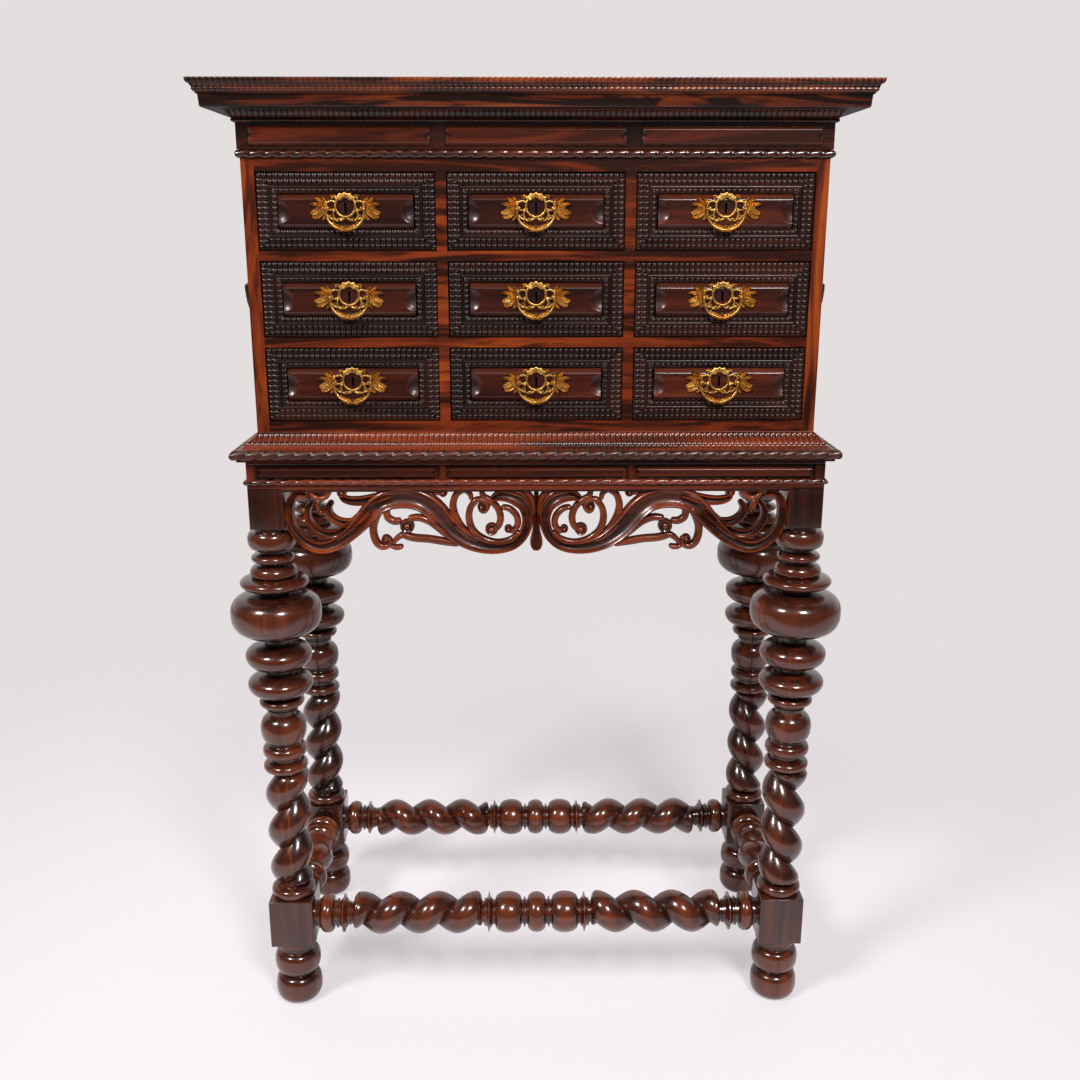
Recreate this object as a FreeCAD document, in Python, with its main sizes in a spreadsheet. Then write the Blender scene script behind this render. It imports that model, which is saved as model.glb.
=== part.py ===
import FreeCAD, Part
import Sketcher
import math
import os

# Cabinet on a twist-turned stand, millimetres, +Z up, the front faces -Y.
# The origin is on the floor, midway between the four leg axes.

V = FreeCAD.Vector
FRONT_NORMAL = V(0, -1, 0)
HALF = 0.5
FULL_TURN = 2 * math.pi
QUARTER = 90

SIZES = [
    # Case
    ("case_width", 818.0),
    ("case_depth", 355.0),
    ("side_thickness", 18.0),
    ("partition_thickness", 15.0),
    ("shelf_thickness", 14.0),
    ("bottom_thickness", 16.0),
    ("top_rail_thickness", 17.0),
    ("frieze_zone_height", 47.0),
    ("top_thickness", 18.0),
    ("front_rail_depth", 20.0),
    ("back_thickness", 10.0),
    ("opening_height", 107.0),
    # Drawer fronts and boxes
    ("drawer_side_gap", 0.8),
    ("drawer_top_gap", 1.0),
    ("drawer_seat_gap", 0.3),
    ("drawer_back_gap", 8.0),
    ("front_setback", 5.0),
    ("front_thickness", 17.0),
    ("outer_band_width", 12.0),
    ("outer_band_rise", 4.5),
    ("middle_band_width", 9.0),
    ("middle_band_rise", 6.0),
    ("inner_band_width", 5.0),
    ("inner_band_rise", 3.5),
    ("cushion_side_margin", 3.5),
    ("cushion_top_margin", 1.85),
    ("cushion_rise", 9.0),
    ("cushion_bevel", 7.0),
    ("box_side_thickness", 9.0),
    ("box_bottom_thickness", 7.0),
    ("box_height", 92.0),
    # Brass mounts and bails
    ("mount_width", 100.0),
    ("mount_height", 54.0),
    ("mount_thickness", 1.6),
    ("keyhole_width", 4.0),
    ("keyhole_height", 12.0),
    ("keyhole_lift", 5.0),
    ("pivot_spacing", 46.0),
    ("pivot_lift", 4.0),
    ("pivot_reach", 4.6),
    ("ear_thickness", 2.6),
    ("ear_size", 6.4),
    ("bail_pin_radius", 1.2),
    ("bail_pin_clearance", 0.25),
    ("bail_wire_radius", 1.8),
    ("bail_drop", 29.0),
    ("bail_side_gap", 0.6),
    ("lock_width", 46.0),
    ("lock_height", 34.0),
    ("lock_thickness", 7.0),
    # Side handles
    ("handle_span", 92.0),
    ("handle_reach", 30.0),
    ("handle_wire_radius", 4.5),
    ("handle_drop", 42.0),
    ("handle_post_width", 8.0),
    ("handle_post_size", 13.0),
    ("handle_pin_radius", 3.0),
    ("handle_pin_clearance", 0.3),
    ("handle_side_gap", 0.8),
    ("rosette_radius", 18.0),
    ("rosette_thickness", 2.5),
    # Cornice, frieze and rope mouldings
    ("cornice_height", 53.0),
    ("cornice_overhang", 55.0),
    ("cornice_foot", 20.0),
    ("lid_thickness", 16.0),
    ("frieze_band_height", 35.0),
    ("frieze_band_thickness", 3.0),
    ("frieze_panel_height", 26.0),
    ("frieze_end_margin", 4.0),
    ("frieze_panel_gap", 22.0),
    ("frieze_panel_rise", 6.0),
    ("upper_rope_radius", 5.8),
    # Base of the case
    ("base_height", 41.0),
    ("base_overhang", 36.0),
    ("base_foot", 20.0),
    ("base_board_thickness", 16.0),
    # Stand
    ("stand_overhang", 17.0),
    ("rail_height", 43.0),
    ("rail_thickness", 26.0),
    ("stand_panel_height", 16.0),
    ("stand_end_margin", 10.5),
    ("stand_panel_gap", 21.0),
    ("stand_panel_rise", 4.0),
    ("stand_panel_drop", 9.0),
    ("lower_rope_radius", 4.3),
    ("lower_rope_lift", 12.0),
    ("panel_bevel", 4.0),
    # Legs
    ("upper_block_size", 52.0),
    ("upper_block_height", 60.0),
    ("upper_turning_height", 392.0),
    ("leg_twist_height", 211.0),
    ("leg_collar_height", 20.0),
    ("lower_block_size", 70.0),
    ("lower_block_height", 82.0),
    ("foot_height", 112.0),
    ("bulb_radius", 69.0),
    ("foot_radius", 37.0),
    ("twist_radius", 35.0),
    ("twist_root_radius", 18.0),
    ("leg_tenon_size", 24.0),
    ("leg_tenon_height", 25.0),
    ("tenon_clearance", 0.3),
    # Stretchers
    ("stretcher_radius", 33.0),
    ("long_end_length", 62.0),
    ("long_middle_length", 180.0),
    ("short_end_length", 50.0),
    ("stretcher_tenon_size", 16.0),
    ("stretcher_tenon_length", 18.0),
    # Apron
    ("apron_height", 99.0),
    ("apron_thickness", 14.0),
    ("apron_setback", 4.0),
    # One overrun serves all cuts, and one tolerance finds edges and stations at the same place
    ("cut_overrun", 5.0),
    ("tolerance", 0.05),
]

# The side handles sit at this share of the height from the case's bottom to the frieze
HANDLE_HEIGHT_SHARE = 0.53

# Counts of facets, turns and members
COLUMN_COUNT = 3
ROW_COUNT = 3
LEG_SIDES = 12
FOOT_SIDES = 8
STRETCHER_SIDES = 8
TWIST_SIDES = 8
TWIST_STEPS = 6
ROD_SIDES = 6
BULB_FACETS = 5
BEAD_FACETS = 3
RING_FACETS = 2
DISC_FACETS = 2
ROPE_FACETS = 4
BAIL_BENDS = 4
LEG_TWIST_TURNS = 3.2
LONG_TWIST_TURNS = 3.4
SHORT_TWIST_TURNS = 2.4

# Where the coil of a twist starts, as a share of the turn about the axis
LEG_START_SHARE = 0.11
STRETCHER_START_SHARE = 0.5

doc = FreeCAD.newDocument("cabinet_on_stand")
sheet = doc.addObject("Spreadsheet::Sheet", "Sizes")
for row, (alias, value) in enumerate(SIZES, start=1):
    sheet.set(f"A{row}", alias)
    sheet.set(f"B{row}", str(value))
    sheet.setAlias(f"B{row}", alias)
doc.recompute()


def size(alias):
    """Value of one driving dimension."""
    return float(getattr(sheet, alias))


# Heights, from the floor up
foot_top = size("foot_height")
lower_block_top = foot_top + size("lower_block_height")
collar_top = lower_block_top + size("leg_collar_height")
twist_top = collar_top + size("leg_twist_height")
turning_top = twist_top + size("upper_turning_height")
rail_bottom = turning_top + size("upper_block_height")
stand_top = rail_bottom + size("rail_height")
case_bottom = stand_top + size("base_height")
first_opening = case_bottom + size("bottom_thickness")
row_pitch = size("opening_height") + size("shelf_thickness")
top_rail_bottom = first_opening + ROW_COUNT * row_pitch - size("shelf_thickness")
frieze_bottom = top_rail_bottom + size("top_rail_thickness")
case_top = frieze_bottom + size("frieze_zone_height")

# Plan: the backs of case and stand are flush
stand_width = size("case_width") + 2 * size("stand_overhang")
stand_depth = size("case_depth") + size("stand_overhang")
stand_back = stand_depth * HALF
stand_front = -stand_back
case_half = size("case_width") * HALF
case_back = stand_back
case_front = case_back - size("case_depth")
leg_x = (stand_width - size("upper_block_size")) * HALF
leg_y = (stand_depth - size("upper_block_size")) * HALF
stretcher_height = (foot_top + lower_block_top) * HALF

# Drawer openings
inner_width = size("case_width") - 2 * size("side_thickness")
opening_width = (inner_width - (COLUMN_COUNT - 1) * size("partition_thickness")) / COLUMN_COUNT
column_pitch = opening_width + size("partition_thickness")
front_width = opening_width - 2 * size("drawer_side_gap")
front_height = size("opening_height") - size("drawer_top_gap") - size("drawer_seat_gap")


def board(label, length, width, height, place):
    """Rectangular board whose three sizes are expressions on the sheet."""
    box = doc.addObject("Part::Box", label)
    box.Label = label
    box.setExpression("Length", length)
    box.setExpression("Width", width)
    box.setExpression("Height", height)
    box.Placement = FreeCAD.Placement(place, FreeCAD.Rotation())
    return box


def feature(label, shape, place=None):
    """Document object that holds a shape built from the sheet's sizes."""
    item = doc.addObject("Part::Feature", label)
    item.Label = label
    item.Shape = shape
    if place is not None:
        item.Placement = FreeCAD.Placement(place, FreeCAD.Rotation())
    return item


def polygon(points):
    """Closed wire through the points."""
    return Part.makePolygon([*points, points[0]])


def skinned(rings):
    """Closed solid with flat four-sided facets between rings of equally many points."""
    faces = [Part.Face(polygon(rings[0])), Part.Face(polygon(rings[-1]))]
    for lower, upper in zip(rings, rings[1:]):
        for index in range(len(lower)):
            following = (index + 1) % len(lower)
            corners = [lower[index], lower[following], upper[following], upper[index]]
            faces.append(Part.Face(polygon(corners)))
    return outward(Part.Solid(Part.Shell(faces)))


def outward(solid):
    """The solid with its faces turned outward."""
    if solid.Volume < 0:
        solid.reverse()
    return solid


def fused(shapes):
    """One solid from shapes that share faces."""
    return shapes[0].fuse(shapes[1:]).removeSplitter()


# Case boards
SIDE_LENGTH = "Sizes.side_thickness"
GRID_HEIGHT = f"Sizes.opening_height * {ROW_COUNT} + Sizes.shelf_thickness * {ROW_COUNT - 1}"
CASE_HEIGHT = f"Sizes.bottom_thickness + {GRID_HEIGHT} + Sizes.top_rail_thickness + Sizes.frieze_zone_height"
INNER_WIDTH = "Sizes.case_width - 2 * Sizes.side_thickness"
INNER_DEPTH = "Sizes.case_depth - Sizes.back_thickness"
OPENING_WIDTH = f"({INNER_WIDTH} - {COLUMN_COUNT - 1} * Sizes.partition_thickness) / {COLUMN_COUNT}"
inner_half = inner_width * HALF
right_side_x = case_half - size("side_thickness")

case_left = board(
    "case_side_left", SIDE_LENGTH, "Sizes.case_depth", CASE_HEIGHT, V(-case_half, case_front, case_bottom)
)
case_right = board(
    "case_side_right", SIDE_LENGTH, "Sizes.case_depth", CASE_HEIGHT, V(right_side_x, case_front, case_bottom)
)
bottom_board = board(
    "case_bottom", INNER_WIDTH, INNER_DEPTH, "Sizes.bottom_thickness", V(-inner_half, case_front, case_bottom)
)
back_board = board(
    "case_back",
    INNER_WIDTH,
    "Sizes.back_thickness",
    CASE_HEIGHT,
    V(-inner_half, case_back - size("back_thickness"), case_bottom),
)

# The top board carries the rail behind the frieze
top_panel = board(
    "top_panel",
    INNER_WIDTH,
    INNER_DEPTH,
    "Sizes.top_thickness",
    V(-inner_half, case_front, case_top - size("top_thickness")),
)
front_rail = board(
    "front_rail",
    INNER_WIDTH,
    "Sizes.front_rail_depth",
    "Sizes.frieze_zone_height - Sizes.top_thickness",
    V(-inner_half, case_front, frieze_bottom),
)
top_board = doc.addObject("Part::Fuse", "case_top")
top_board.Label = "case_top"
top_board.Base = top_panel
top_board.Tool = front_rail

# Grid of shelves and partitions between the drawers
grid_parts = []
for level in range(1, ROW_COUNT):
    shelf = board(
        f"shelf_{level}",
        INNER_WIDTH,
        INNER_DEPTH,
        "Sizes.shelf_thickness",
        V(-inner_half, case_front, first_opening + level * row_pitch - size("shelf_thickness")),
    )
    grid_parts.append(shelf)
for column in range(1, COLUMN_COUNT):
    partition = board(
        f"partition_{column}",
        "Sizes.partition_thickness",
        INNER_DEPTH,
        GRID_HEIGHT,
        V(-inner_half + column * column_pitch - size("partition_thickness"), case_front, first_opening),
    )
    grid_parts.append(partition)
top_rail = board(
    "top_rail",
    INNER_WIDTH,
    INNER_DEPTH,
    "Sizes.top_rail_thickness",
    V(-inner_half, case_front, top_rail_bottom),
)
grid_parts.append(top_rail)
dividers = doc.addObject("Part::MultiFuse", "drawer_dividers")
dividers.Label = "drawer_dividers"
dividers.Shapes = grid_parts


def origin_plane(body, role):
    """One of the body's own origin planes."""
    return next(item for item in body.Origin.OriginFeatures if item.Role == role)


def add_rectangle(sketch, width, height):
    """Rectangle centred on the sketch's origin, its sides bound to two expressions."""
    first = sketch.GeometryCount
    draft = size("cut_overrun")
    corners = [V(-draft, -draft, 0), V(draft, -draft, 0), V(draft, draft, 0), V(-draft, draft, 0)]
    for index in range(len(corners)):
        sketch.addGeometry(Part.LineSegment(corners[index], corners[(index + 1) % len(corners)]))
    for index in range(len(corners)):
        following = first + (index + 1) % len(corners)
        sketch.addConstraint(Sketcher.Constraint("Coincident", first + index, 2, following, 1))
    sketch.addConstraint(Sketcher.Constraint("Horizontal", first))
    sketch.addConstraint(Sketcher.Constraint("Horizontal", first + 2))
    sketch.addConstraint(Sketcher.Constraint("Vertical", first + 1))
    sketch.addConstraint(Sketcher.Constraint("Vertical", first + 3))
    sketch.addConstraint(Sketcher.Constraint("Symmetric", first, 1, first + 2, 1, -1, 1))
    across = sketch.addConstraint(Sketcher.Constraint("DistanceX", first, 1, first, 2, 2 * draft))
    upward = sketch.addConstraint(Sketcher.Constraint("DistanceY", first + 1, 1, first + 1, 2, 2 * draft))
    sketch.setExpression(f"Constraints[{across}]", width)
    sketch.setExpression(f"Constraints[{upward}]", height)


def new_sketch(body, name, role, rectangles):
    """Sketch on an origin plane that holds one or more centred rectangles."""
    sketch = body.newObject("Sketcher::SketchObject", name)
    sketch.AttachmentSupport = [(origin_plane(body, role), "")]
    sketch.MapMode = "FlatFace"
    for width, height in rectangles:
        add_rectangle(sketch, width, height)
    return sketch


def new_pad(body, name, sketch, length, backward=False):
    """Pad of a sketch, its length bound to an expression."""
    pad = body.newObject("PartDesign::Pad", name)
    pad.Profile = sketch
    pad.setExpression("Length", length)
    pad.Reversed = backward
    sketch.Visibility = False
    return pad


# Drawer fronts: a board, three mitred bands that step inwards and a raised cushion
FRONT_WIDTH = f"{OPENING_WIDTH} - 2 * Sizes.drawer_side_gap"
FRONT_HEIGHT = "Sizes.opening_height - Sizes.drawer_top_gap - Sizes.drawer_seat_gap"
BANDS = ("outer_band", "middle_band", "inner_band")


def drawer_front(label, place):
    """Body whose own origin is the middle of the board's front face."""
    body = doc.addObject("PartDesign::Body", label)
    body.Label = label
    face = new_sketch(body, f"{label}_face", "XZ_Plane", [(FRONT_WIDTH, FRONT_HEIGHT)])
    new_pad(body, f"{label}_board", face, "Sizes.front_thickness", backward=True)
    inset = "0"
    for band in BANDS:
        inner = f"{inset} + 2 * Sizes.{band}_width"
        ring = new_sketch(
            body,
            f"{label}_{band}_outline",
            "XZ_Plane",
            [(f"{FRONT_WIDTH} - ({inset})", f"{FRONT_HEIGHT} - ({inset})"),
             (f"{FRONT_WIDTH} - ({inner})", f"{FRONT_HEIGHT} - ({inner})")],
        )
        new_pad(body, f"{label}_{band}", ring, f"Sizes.{band}_rise")
        inset = inner
    cushion_width = f"{FRONT_WIDTH} - ({inset}) - 2 * Sizes.cushion_side_margin"
    cushion_height = f"{FRONT_HEIGHT} - ({inset}) - 2 * Sizes.cushion_top_margin"
    field = new_sketch(body, f"{label}_field", "XZ_Plane", [(cushion_width, cushion_height)])
    cushion = new_pad(body, f"{label}_cushion", field, "Sizes.cushion_rise")
    doc.recompute()
    edges = []
    for index, edge in enumerate(cushion.Shape.Edges, start=1):
        if all(abs(vertex.Y + size("cushion_rise")) < size("tolerance") for vertex in edge.Vertexes):
            edges.append(f"Edge{index}")
    bevel = body.newObject("PartDesign::Chamfer", f"{label}_bevel")
    bevel.Base = (cushion, edges)
    bevel.setExpression("Size", "Sizes.cushion_bevel")
    slot = body.newObject("Sketcher::SketchObject", f"{label}_keyhole_outline")
    slot.AttachmentSupport = [(origin_plane(body, "XZ_Plane"), "")]
    slot.MapMode = "FlatFace"
    slot.AttachmentOffset = FreeCAD.Placement(V(0, size("keyhole_lift"), 0), FreeCAD.Rotation())
    add_rectangle(slot, "Sizes.keyhole_width", "Sizes.keyhole_height")
    keyhole = body.newObject("PartDesign::Pocket", f"{label}_keyhole")
    keyhole.Profile = slot
    keyhole.Type = "ThroughAll"
    keyhole.Midplane = True
    slot.Visibility = False
    body.Placement = FreeCAD.Placement(place, FreeCAD.Rotation())
    return body


# Drawer boxes: two sides, back and bottom, open at the front where the drawer front closes them
BOX_LENGTH = f"{INNER_DEPTH} - Sizes.drawer_back_gap - Sizes.front_setback - Sizes.front_thickness"


def drawer_box(label, place):
    """Open box made by cutting the hollow out of a block."""
    block = board(f"{label}_block", FRONT_WIDTH, BOX_LENGTH, "Sizes.box_height", place)
    wall = size("box_side_thickness")
    hollow = board(
        f"{label}_hollow",
        f"{FRONT_WIDTH} - 2 * Sizes.box_side_thickness",
        f"{BOX_LENGTH} - Sizes.box_side_thickness + Sizes.cut_overrun",
        "Sizes.box_height",
        place + V(wall, -size("cut_overrun"), size("box_bottom_thickness")),
    )
    box = doc.addObject("Part::Cut", label)
    box.Label = label
    box.Base = block
    box.Tool = hollow
    return box


# Half outline of the pierced mount, in shares of its half width and half height
MOUNT_OUTLINE_SHARES = [
    (0.00, 1.00), (0.28, 0.86), (0.36, 0.46), (0.74, 0.68), (1.00, 0.10), (0.80, -0.26), (0.40, -0.34),
    (0.00, -0.82),
]
MOUNT_PIERCING_SHARES = [(0.10, -0.24), (0.32, -0.20), (0.10, -0.56)]


def mirrored_outline(points):
    """Closed outline from a half outline that starts and ends on the middle line."""
    return points + [(-x, z) for x, z in reversed(points[1:-1])]


def upright_face(outlines, depth):
    """Solid cut from a sheet: the first outline less the others, from y = 0 forward by depth."""
    wires = [polygon([V(x, 0, z) for x, z in outline]) for outline in outlines]
    face = Part.Face(wires[0])
    for wire in wires[1:]:
        face = face.cut(Part.Face(wire))
    return face.extrude(FRONT_NORMAL * depth)


def ear(thickness, reach, ear_size, hole_radius):
    """Lug that stands forward from y = 0, with a six-sided pin hole across it at the reach."""
    half = ear_size * HALF
    outline = [V(0, 0, -half), V(0, -reach, -half), V(0, -reach - half, 0), V(0, -reach, half), V(0, 0, half)]
    hole = []
    for index in range(ROD_SIDES):
        angle = FULL_TURN * index / ROD_SIDES
        hole.append(V(0, -reach + hole_radius * math.cos(angle), hole_radius * math.sin(angle)))
    sheet_face = Part.Face(polygon(outline)).cut(Part.Face(polygon(hole)))
    return sheet_face.extrude(V(thickness, 0, 0))


def mount_shape():
    """Pierced plate with two ears, and the lock case behind the drawer front, about the front's middle."""
    half_width = size("mount_width") * HALF
    half_height = size("mount_height") * HALF
    outline = mirrored_outline([(x * half_width, z * half_height) for x, z in MOUNT_OUTLINE_SHARES])
    piercing = [(x * half_width, z * half_height) for x, z in MOUNT_PIERCING_SHARES]
    slot_half = size("keyhole_width") * HALF
    slot_low = size("keyhole_lift") - size("keyhole_height") * HALF
    slot_high = size("keyhole_lift") + size("keyhole_height") * HALF
    slot = [(-slot_half, slot_low), (slot_half, slot_low), (slot_half, slot_high), (-slot_half, slot_high)]
    plate = upright_face(
        [outline, piercing, [(-x, z) for x, z in piercing], slot], size("mount_thickness")
    )
    thickness = size("ear_thickness")
    clear_radius = size("bail_pin_radius") + size("bail_pin_clearance")
    hole_radius = clear_radius / math.cos(math.pi / ROD_SIDES)
    lug = ear(thickness, size("pivot_reach"), size("ear_size"), hole_radius)
    plate_front = -size("mount_thickness")
    ears = []
    for side in (-1, 1):
        copy = lug.copy()
        ear_x = (side * size("pivot_spacing") - thickness) * HALF
        copy.translate(V(ear_x, plate_front, size("pivot_lift")))
        ears.append(copy)
    plate = fused([plate, *ears])
    plate.translate(V(0, -size("cushion_rise"), 0))
    lock_bottom = size("keyhole_lift") - size("lock_height") * HALF
    lock = Part.makeBox(
        size("lock_width"),
        size("lock_thickness"),
        size("lock_height"),
        V(-size("lock_width") * HALF, size("front_thickness"), lock_bottom),
    )
    return Part.makeCompound([plate, lock])


def rod(path, radius, normal):
    """Six-sided rod along a flat path, mitred at its bends; normal is the path's plane normal."""
    rings = []
    for index, point in enumerate(path):
        before = (point - path[index - 1]).normalize() if index > 0 else None
        after = (path[index + 1] - point).normalize() if index < len(path) - 1 else None
        if before is None:
            tangent = after
            stretch = 1.0
        elif after is None:
            tangent = before
            stretch = 1.0
        else:
            tangent = (before + after).normalize()
            stretch = 1.0 / tangent.dot(after)
        sideways = tangent.cross(normal)
        ring = []
        for side in range(ROD_SIDES):
            angle = FULL_TURN * side / ROD_SIDES
            across = sideways * (radius * stretch * math.cos(angle))
            ring.append(point + across + normal * (radius * math.sin(angle)))
        rings.append(ring)
    return skinned(rings)


def bail_shape(half_span, drop, wire_radius, pin_radius, pin_length):
    """D-shaped bail that hangs in the plane y = 0 from two pins that point inwards along X."""
    sag = half_span * HALF
    path = [V(-half_span, 0, wire_radius)]
    for bend in range(BAIL_BENDS + 1):
        angle = math.pi * bend / BAIL_BENDS
        path.append(V(-half_span * math.cos(angle), 0, sag - drop - sag * math.sin(angle)))
    path.append(V(half_span, 0, wire_radius))
    loop = rod(path, wire_radius, V(0, 1, 0))
    pins = []
    for side in (-1, 1):
        ring_start = []
        ring_end = []
        for index in range(ROD_SIDES):
            angle = FULL_TURN * index / ROD_SIDES
            offset = V(0, pin_radius * math.cos(angle), pin_radius * math.sin(angle))
            ring_start.append(V(side * half_span, 0, 0) + offset)
            ring_end.append(V(side * (half_span - pin_length), 0, 0) + offset)
        pins.append(skinned([ring_start, ring_end]))
    return fused([loop, *pins])


mount = mount_shape()
bail_half_span = (
    (size("pivot_spacing") + size("ear_thickness")) * HALF + size("bail_side_gap") + size("bail_wire_radius")
)
bail = bail_shape(
    bail_half_span,
    size("bail_drop"),
    size("bail_wire_radius"),
    size("bail_pin_radius"),
    size("bail_wire_radius") + size("bail_side_gap") + size("ear_thickness"),
)
face_y = case_front + size("front_setback")
pivot_y = face_y - size("cushion_rise") - size("mount_thickness") - size("pivot_reach")

named_nodes = [case_left, case_right, bottom_board, back_board, top_board, dividers]
for row in range(ROW_COUNT):
    for column in range(COLUMN_COUNT):
        name = f"drawer_{ROW_COUNT - row}{column + 1}"
        middle_x = -inner_half + opening_width * HALF + column * column_pitch
        seat_z = first_opening + row * row_pitch + size("drawer_seat_gap")
        middle_z = seat_z + front_height * HALF
        named_nodes.append(drawer_front(f"{name}_front", V(middle_x, face_y, middle_z)))
        box_place = V(middle_x - front_width * HALF, face_y + size("front_thickness"), seat_z)
        named_nodes.append(drawer_box(f"{name}_box", box_place))
        named_nodes.append(feature(f"{name}_mount", mount, V(middle_x, face_y, middle_z)))
        bail_place = V(middle_x, pivot_y, middle_z + size("pivot_lift"))
        named_nodes.append(feature(f"{name}_bail", bail, bail_place))


def mitred(profile, bottom):
    """Moulding mitred round the front and both sides; each profile point is (outward, upward)."""
    stations = []
    for side, back in ((-1, True), (-1, False), (1, False), (1, True)):
        ring = []
        for out, up in profile:
            y = case_back if back else case_front - out
            ring.append(V(side * (case_half + out), y, bottom + up))
        stations.append(ring)
    return skinned(stations)


def half_round(radius, out, facets):
    """Profile of a half-round bead that stands on a face at the given outward distance."""
    points = []
    for index in range(facets + 1):
        angle = math.pi * (index / facets - HALF)
        points.append((out + radius * math.cos(angle), radius + radius * math.sin(angle)))
    return points


def raised_panel(width, height, rise, bevel):
    """Flat-topped panel with sloping edges, centred, standing forward from y = 0."""
    rings = []
    for inset, y in ((0, 0), (bevel, -rise)):
        x = width * HALF - inset
        z = height * HALF - inset
        rings.append([V(-x, y, -z), V(x, y, -z), V(x, y, z), V(-x, y, z)])
    return skinned(rings)


def panel_row(row_width, gap, height, rise, y, z):
    """One raised panel to each column, side by side in a row of the given width."""
    pitch = row_width / COLUMN_COUNT
    width = pitch - gap
    panels = []
    for index in range(COLUMN_COUNT):
        panel = raised_panel(width, height, rise, size("panel_bevel"))
        panel.translate(V((index - (COLUMN_COUNT - 1) * HALF) * pitch, y, z))
        panels.append(panel)
    return panels


# Cornice: shares of the overhang and of the height, from the inner foot round to the top
CORNICE_SHARES = [
    (0.10, 0.00), (0.14, 0.05), (0.20, 0.20), (0.31, 0.30), (0.73, 0.31), (0.76, 0.62),
    (0.80, 0.64), (0.86, 0.75), (0.95, 0.88), (1.00, 0.91), (1.00, 1.00),
]
cornice_profile = []
for out_share, up_share in CORNICE_SHARES:
    cornice_profile.append((out_share * size("cornice_overhang"), up_share * size("cornice_height")))
cornice_profile.append((-size("cornice_foot"), size("cornice_height")))
cornice_profile.append((-size("cornice_foot"), 0))
lid_half = case_half - size("cornice_foot")
lid_bottom = case_top + size("cornice_height") - size("lid_thickness")
lid = Part.makeBox(
    2 * lid_half,
    size("case_depth") - size("cornice_foot"),
    size("lid_thickness"),
    V(-lid_half, case_front + size("cornice_foot"), lid_bottom),
)
cornice_back = Part.makeBox(
    2 * lid_half,
    size("lid_thickness"),
    size("cornice_height") - size("lid_thickness"),
    V(-lid_half, case_back - size("lid_thickness"), case_top),
)
named_nodes.append(feature("cornice", fused([mitred(cornice_profile, case_top), lid, cornice_back])))

# Frieze: a thin band under the cornice with three raised panels on the front
band = size("frieze_band_thickness")
band_height = size("frieze_band_height")
band_bottom = case_top - band_height
frieze_band = mitred([(0, 0), (band, 0), (band, band_height), (0, band_height)], band_bottom)
frieze_panels = panel_row(
    size("case_width") - 2 * size("frieze_end_margin"),
    size("frieze_panel_gap"),
    size("frieze_panel_height"),
    size("frieze_panel_rise"),
    case_front - band,
    band_bottom + band_height * HALF,
)
named_nodes.append(feature("frieze", fused([frieze_band, *frieze_panels])))

# Half-round moulding, carved as a rope, under the frieze
upper_rope = half_round(size("upper_rope_radius"), 0, ROPE_FACETS)
upper_rope_bottom = band_bottom - 2 * size("upper_rope_radius")
named_nodes.append(feature("rope_moulding_upper", mitred(upper_rope, upper_rope_bottom)))

# Base of the case: shares of the overhang and of the height, from the top down to the stand
BASE_SHARES = [
    (0.00, 1.00), (0.14, 0.80), (0.42, 0.60), (0.68, 0.46), (0.92, 0.44), (1.00, 0.30),
    (0.92, 0.14), (0.66, 0.08), (0.52, 0.00),
]
base_profile = []
for out_share, up_share in BASE_SHARES:
    base_profile.append((out_share * size("base_overhang"), up_share * size("base_height")))
base_profile.append((-size("base_foot"), 0))
base_profile.append((-size("base_foot"), size("base_height")))
base_half = case_half - size("base_foot")
base_board = Part.makeBox(
    2 * base_half,
    size("case_depth") - size("base_foot"),
    size("base_board_thickness"),
    V(-base_half, case_front + size("base_foot"), case_bottom - size("base_board_thickness")),
)
base_back = Part.makeBox(
    2 * base_half,
    size("base_board_thickness"),
    size("base_height") - size("base_board_thickness"),
    V(-base_half, case_back - size("base_board_thickness"), stand_top),
)
named_nodes.append(feature("base_moulding", fused([mitred(base_profile, stand_top), base_board, base_back])))

# Stand frame: four rails with a block at each corner, mortised from below for the legs
frame_block = size("upper_block_size")
outer = Part.makeBox(
    stand_width, stand_depth, size("rail_height"), V(-stand_width * HALF, stand_front, rail_bottom)
)
rail = size("rail_thickness")
cut_bottom = rail_bottom - size("cut_overrun")
cut_height = size("rail_height") + 2 * size("cut_overrun")
long_well = Part.makeBox(
    stand_width - 2 * frame_block,
    stand_depth - 2 * rail,
    cut_height,
    V(-stand_width * HALF + frame_block, stand_front + rail, cut_bottom),
)
cross_well = Part.makeBox(
    stand_width - 2 * rail,
    stand_depth - 2 * frame_block,
    cut_height,
    V(-stand_width * HALF + rail, stand_front + frame_block, cut_bottom),
)
frame_solid = outer.cut([long_well, cross_well])
mortise_size = size("leg_tenon_size") + 2 * size("tenon_clearance")
mortises = []
for side_x in (-1, 1):
    for side_y in (-1, 1):
        mortises.append(
            Part.makeBox(
                mortise_size,
                mortise_size,
                size("leg_tenon_height") + size("tenon_clearance") + size("cut_overrun"),
                V(side_x * leg_x - mortise_size * HALF, side_y * leg_y - mortise_size * HALF, cut_bottom),
            )
        )
frame_solid = frame_solid.cut(mortises)
stand_panels = panel_row(
    stand_width - 2 * size("stand_end_margin"),
    size("stand_panel_gap"),
    size("stand_panel_height"),
    size("stand_panel_rise"),
    stand_front,
    stand_top - size("stand_panel_drop") - size("stand_panel_height") * HALF,
)
named_nodes.append(feature("stand_frame", fused([frame_solid, *stand_panels])))
lower_rope = half_round(size("lower_rope_radius"), size("stand_overhang"), ROPE_FACETS)
named_nodes.append(
    feature(
        "rope_moulding_lower",
        mitred(lower_rope, rail_bottom + size("lower_rope_lift") - size("lower_rope_radius")),
    )
)


# Turned work. A member is (kind, bottom share, top share, radius share): a neck is a plain
# cylinder, every other kind swells from the root radius share to the radius share and back.
FACETS = {"bulb": BULB_FACETS, "bead": BEAD_FACETS, "ring": RING_FACETS, "disc": DISC_FACETS}

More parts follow.
